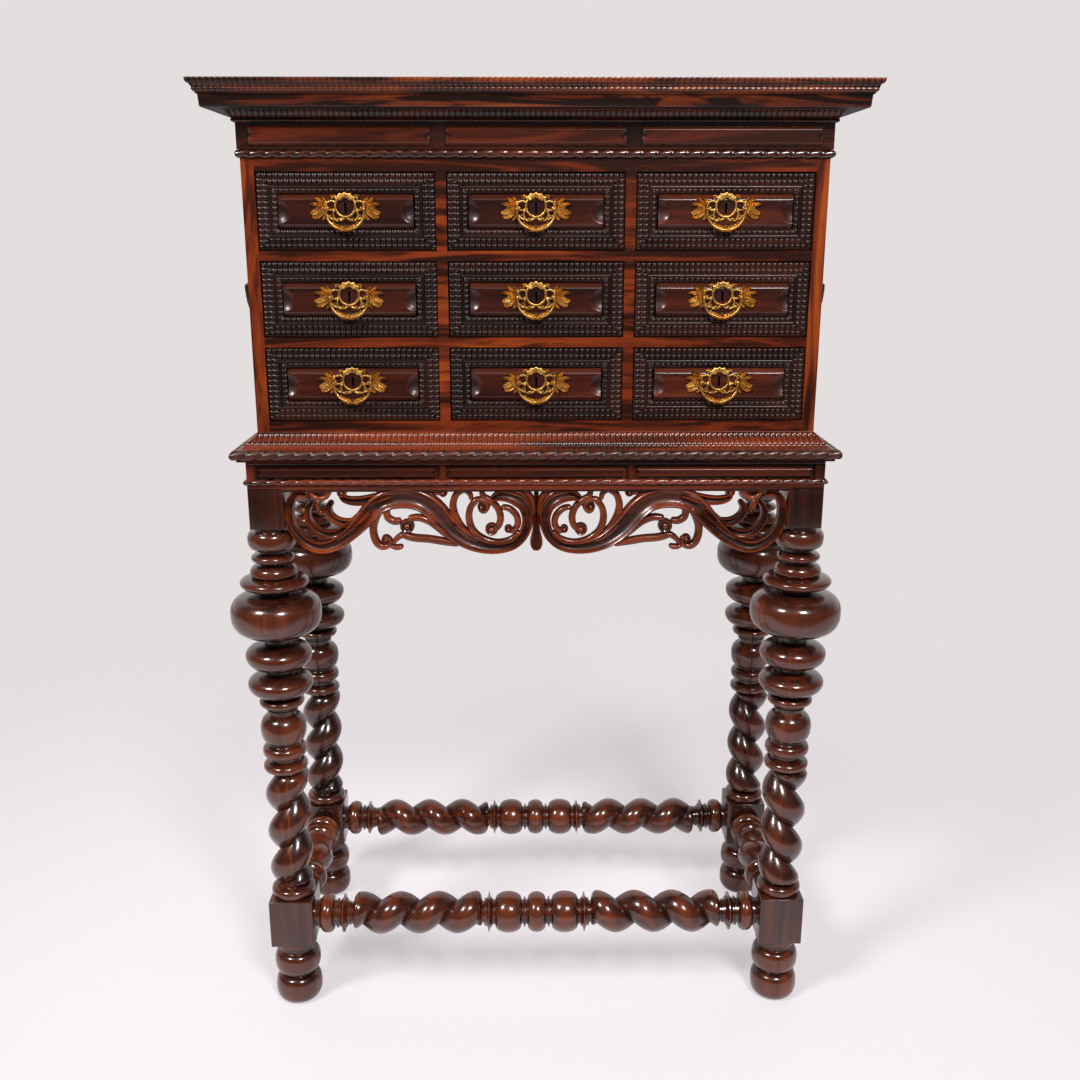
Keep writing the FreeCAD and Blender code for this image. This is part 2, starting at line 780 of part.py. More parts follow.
FOOT_ROOT_SHARE = 0.58
FOOT_SHARES = [
    ("bead", 0.00, 0.48, 1.00),
    ("ring", 0.48, 0.78, 0.97),
    ("neck", 0.88, 1.00, 0.88),
]
COLLAR_ROOT_SHARE = 0.78
COLLAR_SHARES = [("ring", 0.00, 0.90, 0.97)]
LEG_ROOT_SHARE = 0.29
LEG_TURNING_SHARES = [
    ("disc", 0.000, 0.035, 0.48),
    ("ring", 0.035, 0.098, 0.50),
    ("bead", 0.098, 0.226, 0.51),
    ("ring", 0.246, 0.308, 0.50),
    ("bead", 0.308, 0.398, 0.73),
    ("bead", 0.418, 0.520, 0.74),
    ("bulb", 0.548, 0.736, 1.00),
    ("disc", 0.748, 0.796, 0.75),
    ("disc", 0.796, 0.850, 0.50),
    ("disc", 0.862, 0.892, 0.47),
    ("ring", 0.912, 0.988, 0.52),
    ("neck", 0.990, 1.000, 0.37),
]


def swell(kind, low, high, root, radius):
    """Stations (height, radius) on a half ellipse that reaches the full radius, or a straight neck."""
    if kind == "neck":
        return [(low, radius), (high, radius)]
    facets = FACETS[kind]
    widest = math.sin(math.pi * (facets // 2) / facets)
    stations = []
    for index in range(facets + 1):
        angle = math.pi * index / facets
        height = low + (high - low) * (1 - math.cos(angle)) * HALF
        stations.append((height, root + (radius - root) * math.sin(angle) / widest))
    return stations


def turning(members, root_share, length, radius, sides):
    """Turned solid along Z from a table of members, faceted round its axis."""
    root = root_share * radius
    stations = []
    if members[0][1] > 0:
        stations.append((0, root))
    for kind, low, high, width in members:
        for height, ring_radius in swell(kind, low * length, high * length, root, width * radius):
            if not stations or height - stations[-1][0] > size("tolerance"):
                stations.append((height, ring_radius))
    if length - stations[-1][0] > size("tolerance"):
        stations.append((length, root))
    rings = []
    for height, ring_radius in stations:
        ring = []
        for index in range(sides):
            angle = FULL_TURN * index / sides
            ring.append(V(ring_radius * math.cos(angle), ring_radius * math.sin(angle), height))
        rings.append(ring)
    return skinned(rings)


def coil_radius(share, radius, root):
    """Radius of the twist at a share of the turn from the crest: a fat round coil over a narrow groove."""
    distance = 2 * min(share, 1 - share)
    return root + (radius - root) * math.sqrt(1 - distance * distance)


def barley_twist(length, turns, start_share, radius, root):
    """Right-handed single twist along Z with flat facets that follow the coil."""
    steps = round(turns * TWIST_STEPS)
    rows = []
    for step in range(steps + 1):
        row = []
        for side in range(TWIST_SIDES):
            share = side / TWIST_SIDES
            angle = FULL_TURN * (share + start_share + turns * step / steps)
            reach = coil_radius(share, radius, root)
            row.append(V(reach * math.cos(angle), reach * math.sin(angle), length * step / steps))
        rows.append(row)
    faces = [Part.Face(polygon(rows[0])), Part.Face(polygon(rows[-1]))]
    for lower, upper in zip(rows, rows[1:]):
        for side in range(TWIST_SIDES):
            following = (side + 1) % TWIST_SIDES
            faces.append(Part.Face(polygon([lower[side], lower[following], upper[side]])))
            faces.append(Part.Face(polygon([lower[following], upper[following], upper[side]])))
    return outward(Part.Solid(Part.Shell(faces)))


def centred_block(width, low, high):
    """Square block on the Z axis."""
    return Part.makeBox(width, width, high - low, V(-width * HALF, -width * HALF, low))


def raised(shape, height):
    """The shape, moved up."""
    shape.translate(V(0, 0, height))
    return shape


def leg_shape():
    """Left leg from bun foot to tenon, turned and twisted from one piece."""
    foot = turning(FOOT_SHARES, FOOT_ROOT_SHARE, size("foot_height"), size("foot_radius"), FOOT_SIDES)
    collar = turning(
        COLLAR_SHARES, COLLAR_ROOT_SHARE, size("leg_collar_height"), size("twist_radius"), FOOT_SIDES
    )
    twist = barley_twist(
        size("leg_twist_height"),
        LEG_TWIST_TURNS,
        LEG_START_SHARE,
        size("twist_radius"),
        size("twist_root_radius"),
    )
    upper = turning(
        LEG_TURNING_SHARES, LEG_ROOT_SHARE, size("upper_turning_height"), size("bulb_radius"), LEG_SIDES
    )
    return fused(
        [
            foot,
            centred_block(size("lower_block_size"), foot_top, lower_block_top),
            raised(collar, lower_block_top),
            raised(twist, collar_top),
            raised(upper, twist_top),
            centred_block(size("upper_block_size"), turning_top, rail_bottom),
            centred_block(size("leg_tenon_size"), rail_bottom, rail_bottom + size("leg_tenon_height")),
        ]
    )


def stretcher_mortises(side_x, side_y):
    """The two cuts in a leg's lower block, towards its neighbours."""
    width = size("stretcher_tenon_size") + 2 * size("tenon_clearance")
    depth = size("stretcher_tenon_length") + size("tenon_clearance") + size("cut_overrun")
    start = size("lower_block_size") * HALF - size("stretcher_tenon_length") - size("tenon_clearance")
    across = Part.makeBox(depth, width, width, V(start, -width * HALF, stretcher_height - width * HALF))
    along = Part.makeBox(width, depth, width, V(-width * HALF, start, stretcher_height - width * HALF))
    if side_x > 0:
        across = across.mirror(V(0, 0, 0), V(1, 0, 0))
    if side_y > 0:
        along = along.mirror(V(0, 0, 0), V(0, 1, 0))
    return [across, along]


left_leg = leg_shape()
right_leg = left_leg.mirror(V(0, 0, 0), V(1, 0, 0))
for side_y, depth_name in ((-1, "front"), (1, "rear")):
    for side_x, width_name, base in ((-1, "left", left_leg), (1, "right", right_leg)):
        leg = base.cut(stretcher_mortises(side_x, side_y))
        place = V(side_x * leg_x, side_y * leg_y, 0)
        named_nodes.append(feature(f"leg_{depth_name}_{width_name}", leg, place))

# Stretchers. The middle and the ends are turned, with twists of mirrored hand between them.
STRETCHER_ROOT_SHARE = 0.70
LONG_MIDDLE_SHARES = [
    ("disc", 0.020, 0.090, 0.98),
    ("bead", 0.120, 0.370, 1.00),
    ("bead", 0.400, 0.600, 1.00),
    ("bead", 0.630, 0.880, 1.00),
    ("disc", 0.910, 0.980, 0.98),
]
END_SHARES = [
    ("neck", 0.00, 0.14, 0.76),
    ("bead", 0.16, 0.52, 0.93),
    ("disc", 0.62, 0.84, 0.91),
]


def tenon(height):
    """Square tenon below a height on the Z axis."""
    return centred_block(size("stretcher_tenon_size"), height - size("stretcher_tenon_length"), height)


def half_stretcher(end_length, twist_length, turns):
    """Tenon, turned end and twist, along Z from the leg's face."""
    radius = size("stretcher_radius")
    end = turning(END_SHARES, STRETCHER_ROOT_SHARE, end_length, radius, STRETCHER_SIDES)
    twist = barley_twist(twist_length, turns, STRETCHER_START_SHARE, radius, size("twist_root_radius"))
    return fused([tenon(0), end, raised(twist, end_length)])


def long_stretcher(length):
    """Stretcher along Z between two leg faces, symmetric about its middle."""
    middle_length = size("long_middle_length")
    end_length = size("long_end_length")
    twist_length = (length - middle_length) * HALF - end_length
    first = half_stretcher(end_length, twist_length, LONG_TWIST_TURNS)
    second = first.mirror(V(0, 0, length * HALF), V(0, 0, 1))
    middle = turning(
        LONG_MIDDLE_SHARES, STRETCHER_ROOT_SHARE, middle_length, size("stretcher_radius"), STRETCHER_SIDES
    )
    return fused([first, raised(middle, end_length + twist_length), second])


def short_stretcher(length):
    """Stretcher along Z between two leg faces with one twist."""
    end_length = size("short_end_length")
    twist_length = length - 2 * end_length
    radius = size("stretcher_radius")
    first = half_stretcher(end_length, twist_length, SHORT_TWIST_TURNS)
    second = turning(END_SHARES, STRETCHER_ROOT_SHARE, end_length, radius, STRETCHER_SIDES)
    second = fused([second, tenon(0)]).mirror(V(0, 0, 0), V(0, 0, 1))
    return fused([first, raised(second, length)])


block_face = size("lower_block_size") * HALF
long_length = 2 * (leg_x - block_face)
short_length = 2 * (leg_y - block_face)
along_x = FreeCAD.Rotation(V(0, 1, 0), QUARTER)
along_y = FreeCAD.Rotation(V(1, 0, 0), -QUARTER)
rear_stretcher = long_stretcher(long_length)
front_stretcher = rear_stretcher.mirror(V(0, 0, 0), V(0, 1, 0))
left_stretcher = short_stretcher(short_length)
right_stretcher = left_stretcher.mirror(V(0, 0, 0), V(1, 0, 0))
for label, shape, start, turn in (
    ("stretcher_front", front_stretcher, V(block_face - leg_x, -leg_y, stretcher_height), along_x),
    ("stretcher_rear", rear_stretcher, V(block_face - leg_x, leg_y, stretcher_height), along_x),
    ("stretcher_left", left_stretcher, V(-leg_x, block_face - leg_y, stretcher_height), along_y),
    ("stretcher_right", right_stretcher, V(leg_x, block_face - leg_y, stretcher_height), along_y),
):
    item = feature(label, shape)
    item.Placement = FreeCAD.Placement(start, turn)
    named_nodes.append(item)

# Pierced apron: shares of its half width, outward from the middle, and of its height, down
APRON_OUTLINE_SHARES = [
    (0.00, 0.98), (0.02, 0.98), (0.04, 0.87), (0.09, 0.94), (0.14, 1.00), (0.21, 1.00), (0.30, 0.94),
    (0.38, 0.88), (0.47, 0.88), (0.52, 0.84), (0.53, 0.91), (0.56, 0.94), (0.58, 0.85), (0.60, 0.93),
    (0.64, 0.93), (0.66, 0.84), (0.68, 0.77), (0.72, 0.79), (0.75, 0.88), (0.80, 0.96), (0.85, 0.99),
    (0.91, 0.96), (0.96, 0.87), (0.99, 0.72), (1.00, 0.57), (1.00, 0.00),
]
APRON_PIERCING_SHARES = [
    [(0.75, 0.05), (0.64, 0.05), (0.67, 0.11), (0.75, 0.17)],
    [(0.80, 0.34), (0.78, 0.25), (0.69, 0.25), (0.75, 0.45), (0.79, 0.46)],
    [(0.83, 0.63), (0.78, 0.57), (0.72, 0.55), (0.76, 0.66), (0.80, 0.69)],
    [(0.96, 0.18), (0.93, 0.13), (0.93, 0.27), (0.93, 0.45), (0.96, 0.49)],
    [(0.91, 0.49), (0.87, 0.58), (0.82, 0.60), (0.85, 0.67), (0.90, 0.63)],
    [(0.56, 0.37), (0.53, 0.30), (0.48, 0.31), (0.42, 0.48), (0.47, 0.43), (0.54, 0.43)],
    [(0.63, 0.52), (0.60, 0.48), (0.55, 0.57), (0.55, 0.70), (0.63, 0.72)],
    [(0.51, 0.65), (0.47, 0.64), (0.38, 0.75), (0.44, 0.76), (0.51, 0.74)],
    [(0.39, 0.13), (0.37, 0.05), (0.31, 0.05), (0.34, 0.30)],
    [(0.31, 0.33), (0.29, 0.24), (0.28, 0.36), (0.28, 0.48), (0.30, 0.55)],
    [(0.27, 0.05), (0.22, 0.05), (0.23, 0.18), (0.26, 0.18)],
    [(0.21, 0.05), (0.13, 0.05), (0.16, 0.15), (0.20, 0.18)],
    [(0.25, 0.42), (0.20, 0.30), (0.17, 0.42), (0.16, 0.57), (0.20, 0.63), (0.17, 0.75), (0.10, 0.75),
     (0.14, 0.83), (0.21, 0.79), (0.25, 0.66)],
    [(0.13, 0.30), (0.08, 0.30), (0.05, 0.45), (0.07, 0.63), (0.10, 0.54)],
    [(0.05, 0.05), (0.01, 0.05), (0.01, 0.21)],
]
apron_half = leg_x - size("upper_block_size") * HALF
apron_height = size("apron_height")


def apron_points(shares, side):
    """Points of one outline on one side of the middle."""
    return [(side * x * apron_half, -z * apron_height) for x, z in shares]


apron_outline = apron_points(APRON_OUTLINE_SHARES, 1)
apron_outline += [(-x, z) for x, z in reversed(apron_outline[1:])]
piercings = []
for shares in APRON_PIERCING_SHARES:
    for side in (-1, 1):
        piercings.append(apron_points(shares, side))
apron = upright_face([apron_outline, *piercings], size("apron_thickness"))
apron_place = V(0, stand_front + size("apron_setback") + size("apron_thickness"), rail_bottom)
named_nodes.append(feature("apron_front", apron, apron_place))

# Side handles: rosettes with a post each on the case sides, and a bail between the posts
handle_y = (case_front + case_back) * HALF
handle_x = case_half + size("handle_reach")
handle_z = case_bottom + HANDLE_HEIGHT_SHARE * (frieze_bottom - case_bottom)


def handle_post(side_x, side_y):
    """Six-sided rosette on the case side with a pierced post that stands out from it."""
    radius = size("rosette_radius")
    rings = []
    for x in (case_half, case_half + size("rosette_thickness")):
        ring = []
        for index in range(ROD_SIDES):
            angle = FULL_TURN * index / ROD_SIDES
            ring.append(V(x, radius * math.cos(angle), radius * math.sin(angle)))
        rings.append(ring)
    rosette = skinned(rings)
    clear_radius = size("handle_pin_radius") + size("handle_pin_clearance")
    hole_radius = clear_radius / math.cos(math.pi / ROD_SIDES)
    post_reach = size("handle_reach") - size("rosette_thickness")
    post = ear(size("handle_post_width"), post_reach, size("handle_post_size"), hole_radius)
    post.translate(V(-size("handle_post_width") * HALF, 0, 0))
    post.rotate(V(0, 0, 0), V(0, 0, 1), QUARTER)
    post.translate(V(case_half + size("rosette_thickness"), 0, 0))
    plate = fused([rosette, post])
    if side_x < 0:
        plate = plate.mirror(V(0, 0, 0), V(1, 0, 0))
    plate.translate(V(0, handle_y + side_y * size("handle_span") * HALF, handle_z))
    return plate


posts = [handle_post(side_x, side_y) for side_x in (-1, 1) for side_y in (-1, 1)]
named_nodes.append(feature("handle_plates", Part.makeCompound(posts)))
handle_half_span = (
    (size("handle_span") + size("handle_post_width")) * HALF
    + size("handle_side_gap")
    + size("handle_wire_radius")
)
handle = bail_shape(
    handle_half_span,
    size("handle_drop"),
    size("handle_wire_radius"),
    size("handle_pin_radius"),
    size("handle_wire_radius") + size("handle_side_gap") + size("handle_post_width"),
)
for side_x, label in ((-1, "handle_left"), (1, "handle_right")):
    item = feature(label, handle)
    place = V(side_x * handle_x, handle_y, handle_z)
    item.Placement = FreeCAD.Placement(place, FreeCAD.Rotation(V(0, 0, 1), QUARTER))
    named_nodes.append(item)

doc.recompute()

# Every object must have been built, and every sub-part must be a valid solid
for item in doc.Objects:
    if "Invalid" in item.State or "Error" in item.State:
        raise RuntimeError(f"{item.Label} failed: {item.State}")
for node in named_nodes:
    if node.Shape.isNull() or not node.Shape.isValid() or node.Shape.Volume <= 0:
        raise RuntimeError(f"{node.Label} has no valid solid")

os.makedirs("parts", exist_ok=True)
for node in named_nodes:
    node.Shape.exportStep(f"parts/{node.Label}.step")
print("sub-parts written:", len(named_nodes))
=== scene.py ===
# %% [markdown]
# # A chest of nine drawers on a twisted stand
# The real piece is a rosewood chest that stands on four turned legs. Its drawer fronts are framed
# with rippled mouldings, its pulls are pierced gilt brass, and a carved apron hangs under the stand.
# The CAD frame already holds every board, joint and axis in its place. This lesson dresses that
# frame: turned, rippled, carved and cast surfaces are worked out as grids of points with numpy,
# because a formula for a surface is short to read and gives clean, evenly spaced faces.

# %% Open the frame
import math

import bmesh
import bpy
import numpy as np
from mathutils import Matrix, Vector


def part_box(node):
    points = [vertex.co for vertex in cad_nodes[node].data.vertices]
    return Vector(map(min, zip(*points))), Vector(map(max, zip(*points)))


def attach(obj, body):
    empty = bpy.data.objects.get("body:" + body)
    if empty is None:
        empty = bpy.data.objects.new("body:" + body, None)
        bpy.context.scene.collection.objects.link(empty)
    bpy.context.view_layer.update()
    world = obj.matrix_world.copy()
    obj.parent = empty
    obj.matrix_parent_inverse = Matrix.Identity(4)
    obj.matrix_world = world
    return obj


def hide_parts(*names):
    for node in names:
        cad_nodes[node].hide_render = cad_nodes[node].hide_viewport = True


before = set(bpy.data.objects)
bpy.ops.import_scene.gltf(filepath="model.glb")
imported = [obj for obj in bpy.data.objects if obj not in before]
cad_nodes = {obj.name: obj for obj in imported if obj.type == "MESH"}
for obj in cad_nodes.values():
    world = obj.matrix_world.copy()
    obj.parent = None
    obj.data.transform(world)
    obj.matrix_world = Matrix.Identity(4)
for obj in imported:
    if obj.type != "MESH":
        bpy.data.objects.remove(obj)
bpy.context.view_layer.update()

MM = 0.001


def corners(node):
    """Lowest and highest corner of a CAD node, in millimetres."""
    low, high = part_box(node)
    return np.array(low) / MM, np.array(high) / MM


# %% [markdown]
# ## Camera and studio
# The photograph looks slightly down at the chest from close by, so its legs lean inwards towards
# the floor. A camera could be aimed with a constraint, but a fixed place and two turns are easier
# to keep. Two broad lamps stand far off in front, to the left and to the right: every bead of the
# turned legs carries the same pair of highlights. The pale surroundings are the world's colour,
# and the floor fades into that colour away from the chest, so that no horizon shows. The room is
# bright behind the chest and dark behind the camera, and so is the part of the floor that the
# camera does not see: that keeps the polished fronts deep in colour and draws pale rims along the
# round work.

# %% Camera
SENSOR_WIDTH = 36.0
FOCAL_LENGTH = 38.45
CAMERA_PLACE = (-0.0121, -1.8484, 1.254)
LOOK_DOWN, LOOK_RIGHT = math.radians(15.26), math.radians(0.603)

camera_data = bpy.data.cameras.new("photo_view")
camera_data.sensor_fit = "HORIZONTAL"
camera_data.sensor_width = SENSOR_WIDTH
camera_data.lens = FOCAL_LENGTH
camera = bpy.data.objects.new("photo_view", camera_data)
camera.location = CAMERA_PLACE
camera.rotation_euler = (math.pi / 2 - LOOK_DOWN, 0.0, -LOOK_RIGHT)
bpy.context.scene.collection.objects.link(camera)
bpy.context.scene.camera = camera
bpy.context.scene.view_settings.view_transform = "Standard"
print("camera at", CAMERA_PLACE)

# %% [markdown]
# ## Writing shader maths as Python
# A material's pattern is a formula, and a formula reads best as one line. The class below wraps a
# socket and turns Python's own operators into Math nodes. Everything else, such as noise, mapping
# and colour mixing, comes from one method that adds a node, sets it up and feeds its sockets.


# %% A material as a recipe
class Value:
    """A number socket that can be used in Python expressions: each operator adds one Math node."""

    def __init__(self, recipe, socket):
        self.recipe = recipe
        self.socket = socket

    def math(self, operation, first, second):
        node = self.recipe.node("ShaderNodeMath", {0: first, 1: second}, operation=operation)
        return Value(self.recipe, node.outputs[0])

    def __add__(self, other):
        return self.math("ADD", self, other)

    def __sub__(self, other):
        return self.math("SUBTRACT", self, other)

    def __rsub__(self, other):
        return self.math("SUBTRACT", other, self)

    def __mul__(self, other):
        return self.math("MULTIPLY", self, other)

    __radd__ = __add__
    __rmul__ = __mul__

    def step(self, low, high):
        """Rises smoothly from 0 at low to 1 at high."""
        sockets = {"Value": self, "From Min": low, "From Max": high}
        node = self.recipe.node("ShaderNodeMapRange", sockets, interpolation_type="SMOOTHSTEP")
        return Value(self.recipe, node.outputs[0])


class Recipe:
    """The node tree of a material, or of the world, with its shader ready to be fed."""

    def __init__(self, owner):
        owner.use_nodes = True
        self.owner = owner
        self.tree = owner.node_tree
        self.shader = self.tree.nodes.get("Principled BSDF") or self.tree.nodes["Background"]

    def feed(self, node, sockets):
        """Fills a node's sockets: each with a link from a value or a socket, or with a constant."""
        for name, value in sockets.items():
            if isinstance(value, Value):
                value = value.socket
            if isinstance(value, bpy.types.NodeSocket):
                self.tree.links.new(value, node.inputs[name])
            else:
                node.inputs[name].default_value = value

    def node(self, kind, sockets=None, **settings):
        """Adds a node: its settings first, then the values or links of its sockets."""
        node = self.tree.nodes.new(kind)
        for name, value in settings.items():
            setattr(node, name, value)
        self.feed(node, sockets or {})
        return node

    def coordinates(self, output="Object"):
        """Where a point lies in its object, or the direction of a ray in the world."""
        return self.node("ShaderNodeTexCoord").outputs[output]

    def axes(self, vector):
        """The three numbers of a vector."""
        return self.node("ShaderNodeSeparateXYZ", {0: vector}).outputs

    def camera_ray(self):
        """1 for rays that come straight from the camera, and 0 for light and reflections."""
        return Value(self, self.node("ShaderNodeLightPath").outputs["Is Camera Ray"])

    def noise(self, place, stretch, detail=3.0, roughness=0.55, distortion=0.0, shift=0.0):
        """Noise whose grain size along each axis is set by the stretch: more is finer."""
        sockets = {"Vector": place, "Scale": stretch, "Location": (shift, shift * 1.7, shift * 0.6)}
        mapped = self.node("ShaderNodeMapping", sockets).outputs[0]
        sockets = {
            "Vector": mapped, "Scale": 1.0, "Detail": detail, "Roughness": roughness, "Distortion": distortion,
        }
        return Value(self, self.node("ShaderNodeTexNoise", sockets).outputs[0])

    def mix(self, first, second, share):
        """Colour that goes from the first to the second as the share goes from 0 to 1."""
        return self.node("ShaderNodeMix", {0: share, 6: first, 7: second}, data_type="RGBA").outputs[2]

    def attribute(self, name, output):
        """An attribute that the mesh carries."""
        return self.node("ShaderNodeAttribute", attribute_name=name).outputs[output]

    def bump(self, height, distance, strength):
        """Normal bent by a height in metres times the distance."""
        sockets = {"Height": height, "Distance": distance, "Strength": strength}
        self.feed(self.shader, {"Normal": self.node("ShaderNodeBump", sockets).outputs[0]})

    def finish(self, colour, roughness, metallic=0.0, coat=0.0, coat_roughness=0.1, specular=0.5):
        """Feeds the shader and returns the material."""
        self.feed(self.shader, {
            "Specular IOR Level": specular, "Base Color": colour, "Roughness": roughness, "Metallic": metallic,
            "Coat Weight": coat, "Coat Roughness": coat_roughness,
        })
        return self.owner


print("recipes ready")

# %% [markdown]
# ## Floor, lamps and surroundings

# %% Floor, lamps and surroundings
BACKDROP = (0.776, 0.733, 0.735, 1.0)
# Painted light: the glow that the camera sees on the floor near the chest, paler than the backdrop
FLOOR_PAINTED_GLOW = (0.88, 0.826, 0.856, 1.0)
FLOOR_LIT = (0.87, 0.822, 0.850, 1.0)
FLOOR_DARK = (0.06, 0.06, 0.06, 1.0)
FLOOR_REACH = 14.0
AIM_HEIGHT = 0.75
LAMP_DISTANCE, LAMP_SIZE, LAMP_WATTS = 4.2, 0.85, 142


def full_turn(count):
    """Angles of a closed ring of so many points."""
    return np.linspace(0, 2 * math.pi, count + 1)[:-1]


def studio_floor():
    """Disc of rings and spokes round the origin. Near the chest the camera sees the lit and shaded
    floor mixed about half and half with a glow paler than the backdrop: painted light that brightens
    the floor there and softens the chest's shadow. Further out the camera sees the backdrop's own
    colour."""
    radii = np.concatenate([np.linspace(0, 3, 13), np.linspace(3.5, FLOOR_REACH, 12)])
    angles = full_turn(64)
    x = radii[:, None] * np.cos(angles)
    y = radii[:, None] * np.sin(angles)
    points = np.stack([x, y, np.zeros_like(x)], axis=-1).reshape(-1, 3)
    index = np.arange(len(points)).reshape(len(radii), len(angles))
    across = np.roll(index, -1, axis=1)
    quads = np.stack([index[:-1], index[1:], across[1:], across[:-1]], axis=-1).reshape(-1, 4)
    mesh = bpy.data.meshes.new("studio_floor")
    mesh.from_pydata(points, [], quads)
    floor = bpy.data.objects.new("studio_floor", mesh)
    bpy.context.scene.collection.objects.link(floor)
    recipe = Recipe(bpy.data.materials.new("studio_floor"))
    place = recipe.coordinates()
    away = recipe.node("ShaderNodeVectorMath", {0: place}, operation="LENGTH").outputs["Value"]
    far = Value(recipe, away).step(0.5, 2.0)
    seen = recipe.camera_ray()
    behind = Value(recipe, recipe.axes(place)["Y"]).step(-2.0, -0.9)
    lit = behind * 0.86 * (1 - seen) + seen
    recipe.finish(recipe.mix(FLOOR_DARK, FLOOR_LIT, lit), 0.55)
    tint = recipe.mix(FLOOR_PAINTED_GLOW, BACKDROP, far)
    glow = recipe.node("ShaderNodeEmission", {"Color": tint, "Strength": 1.0})
    # Camera rays only: about half painted glow near the chest, which softens its shadow, and all backdrop colour
    # far out
    share = seen * (far * 0.46 + 0.54)
    blend = recipe.node("ShaderNodeMixShader", {0: share, 1: recipe.shader.outputs[0], 2: glow.outputs[0]})
    recipe.feed(recipe.tree.nodes["Material Output"], {"Surface": blend.outputs[0]})
    mesh.materials.append(recipe.owner)


def lamp(name, azimuth, elevation):
    """Square lamp that faces the chest. Azimuth 0 is straight in front, positive to the right."""
    turn, tilt = math.radians(azimuth), math.radians(elevation)
    data = bpy.data.lights.new(name, "AREA")
    data.shape = "SQUARE"
    data.size = LAMP_SIZE
    data.energy = LAMP_WATTS
    light = bpy.data.objects.new(name, data)
    reach = LAMP_DISTANCE * math.cos(tilt)
    height = AIM_HEIGHT + LAMP_DISTANCE * math.sin(tilt)
    light.location = (reach * math.sin(turn), -reach * math.cos(turn), height)
    light.rotation_euler = (math.pi / 2 - tilt, 0.0, turn)
    bpy.context.scene.collection.objects.link(light)


studio_floor()
lamp("lamp_left", -47, 42)
lamp("lamp_right", 19, 40)
world = bpy.data.worlds.new("studio")
bpy.context.scene.world = world
recipe = Recipe(world)
seen = recipe.camera_ray()
behind = Value(recipe, recipe.axes(recipe.coordinates("Generated"))["Y"]).step(0.0, 0.65) * 0.84 + 0.13
recipe.feed(recipe.shader, {"Color": BACKDROP, "Strength": behind * (1 - seen) + seen})
print("studio: two lamps, a floor and a pale world")

# %% [markdown]
# ## Finishes
# Rosewood is red-brown with nearly black veins that run along the board, fine dark pores and a
# polish that is worn on the crests and dull in the hollows. An image could show that, but a
# pattern of stretched noise has no seams and follows each piece's own grain. Carved pieces carry
# two attributes: `grain`, a place whose first axis runs along the wood, and `relief`, which is 1 on
# crests and 0 in hollows. Hollows are painted darker, partly as wax and dust and partly as painted
# shade, and crests are painted lighter, partly as wear and partly as a painted highlight.

# %% Rosewood, inner wood, gilt brass and iron
# The axes in the order along the grain, across it, and across it again
ORDER = {"x": (0, 1, 2), "y": (1, 0, 2), "z": (2, 0, 1)}


def grain_place(recipe, axis):
    """Object coordinates with the grain's axis first, or a carved piece's own grain places."""
    if not axis:
        return recipe.attribute("grain", "Vector")
    parts = recipe.axes(recipe.coordinates())
    sockets = {number: parts[part] for number, part in enumerate(ORDER[axis])}
    return recipe.node("ShaderNodeCombineXYZ", sockets).outputs[0]


def wood(name, dark, middle, light, axis="", shift=0.0, gloss=0.3, coat=0.4, veins=(0.40, 0.62),
         flame=(2.4, 42.0, 0.9), specular=0.35):
    """Wood: veins and a slow change of tone, both drawn out along the grain, with fine pores. The
    flame gives how many veins there are in a metre along and across the grain, and their waver."""
    recipe = Recipe(bpy.data.materials.new(name))
    place = grain_place(recipe, axis)
    along, across, waver = flame
    figure = recipe.noise(place, (along, across, across), detail=5.0, roughness=0.6, distortion=waver, shift=shift)
    tone = recipe.noise(place, (1.6, 8.0, 8.0), detail=2.0, distortion=0.6, shift=shift + 5)
    fibre = recipe.noise(place, (22.0, 620.0, 620.0), detail=2.0, shift=shift + 9)
    pores = recipe.noise(place, (60.0, 1500.0, 1500.0), detail=1.0, shift=shift + 13).step(0.60, 0.70)
    bright = (figure + (tone - 0.5) * 0.55).step(*veins)
    colour = recipe.mix((*dark, 1), (*middle, 1), bright)
    colour = recipe.mix(colour, (*light, 1), tone.step(0.46, 0.68) * figure.step(0.45, 0.65) * 0.85)
    colour = recipe.mix(colour, (*dark, 1), fibre.step(0.45, 0.72) * 0.25 + pores * 0.25)
    roughness = fibre * 0.06 + (gloss - 0.03)
    if not axis:
        # Painted shade and highlight: hollows turn towards a darker tone, partly wax and dust and partly painted
        # shade; crests turn towards the light tone, partly wear and partly a painted highlight
        relief = Value(recipe, recipe.attribute("relief", "Fac"))
        hollow = 1 - relief.step(0.05, 0.5)
        colour = recipe.mix(colour, tuple(0.35 * part for part in dark) + (1,), hollow * 0.7)
        colour = recipe.mix(colour, (*light, 1), relief.step(0.82, 1.0) * 0.28)
        roughness = roughness + hollow * 0.24
        coat = (1 - hollow * 0.85) * coat
    recipe.bump(fibre * 0.3 - pores, 0.00006, 0.4)
    return recipe.finish(colour, roughness, coat=coat, coat_roughness=0.09, specular=specular)


RED = ((0.020, 0.0042, 0.0019), (0.146, 0.0208, 0.0050), (0.310, 0.0580, 0.0078))
FLAMED = ((0.011, 0.0040, 0.0028), (0.092, 0.0155, 0.0048), (0.280, 0.0550, 0.0080))
DARK = ((0.013, 0.0040, 0.0026), (0.044, 0.0094, 0.0046), (0.175, 0.0340, 0.0090))
BLACK = ((0.009, 0.0034, 0.0026), (0.025, 0.0072, 0.0044), (0.052, 0.0140, 0.0070))
PANEL = ((0.013, 0.0034, 0.0021), (0.049, 0.0086, 0.0042), (0.110, 0.0205, 0.0074))
APRON = ((0.030, 0.0058, 0.0024), (0.140, 0.0220, 0.0062), (0.270, 0.0500, 0.0090))
FRIEZE = ((0.024, 0.0050, 0.0026), (0.095, 0.0145, 0.0046), (0.190, 0.0340, 0.0068))
TURNED = ((0.016, 0.0042, 0.0026), (0.074, 0.0140, 0.0054), (0.240, 0.0480, 0.0105))
PALE = ((0.090, 0.0400, 0.0170), (0.165, 0.0820, 0.0360), (0.225, 0.1200, 0.0540))

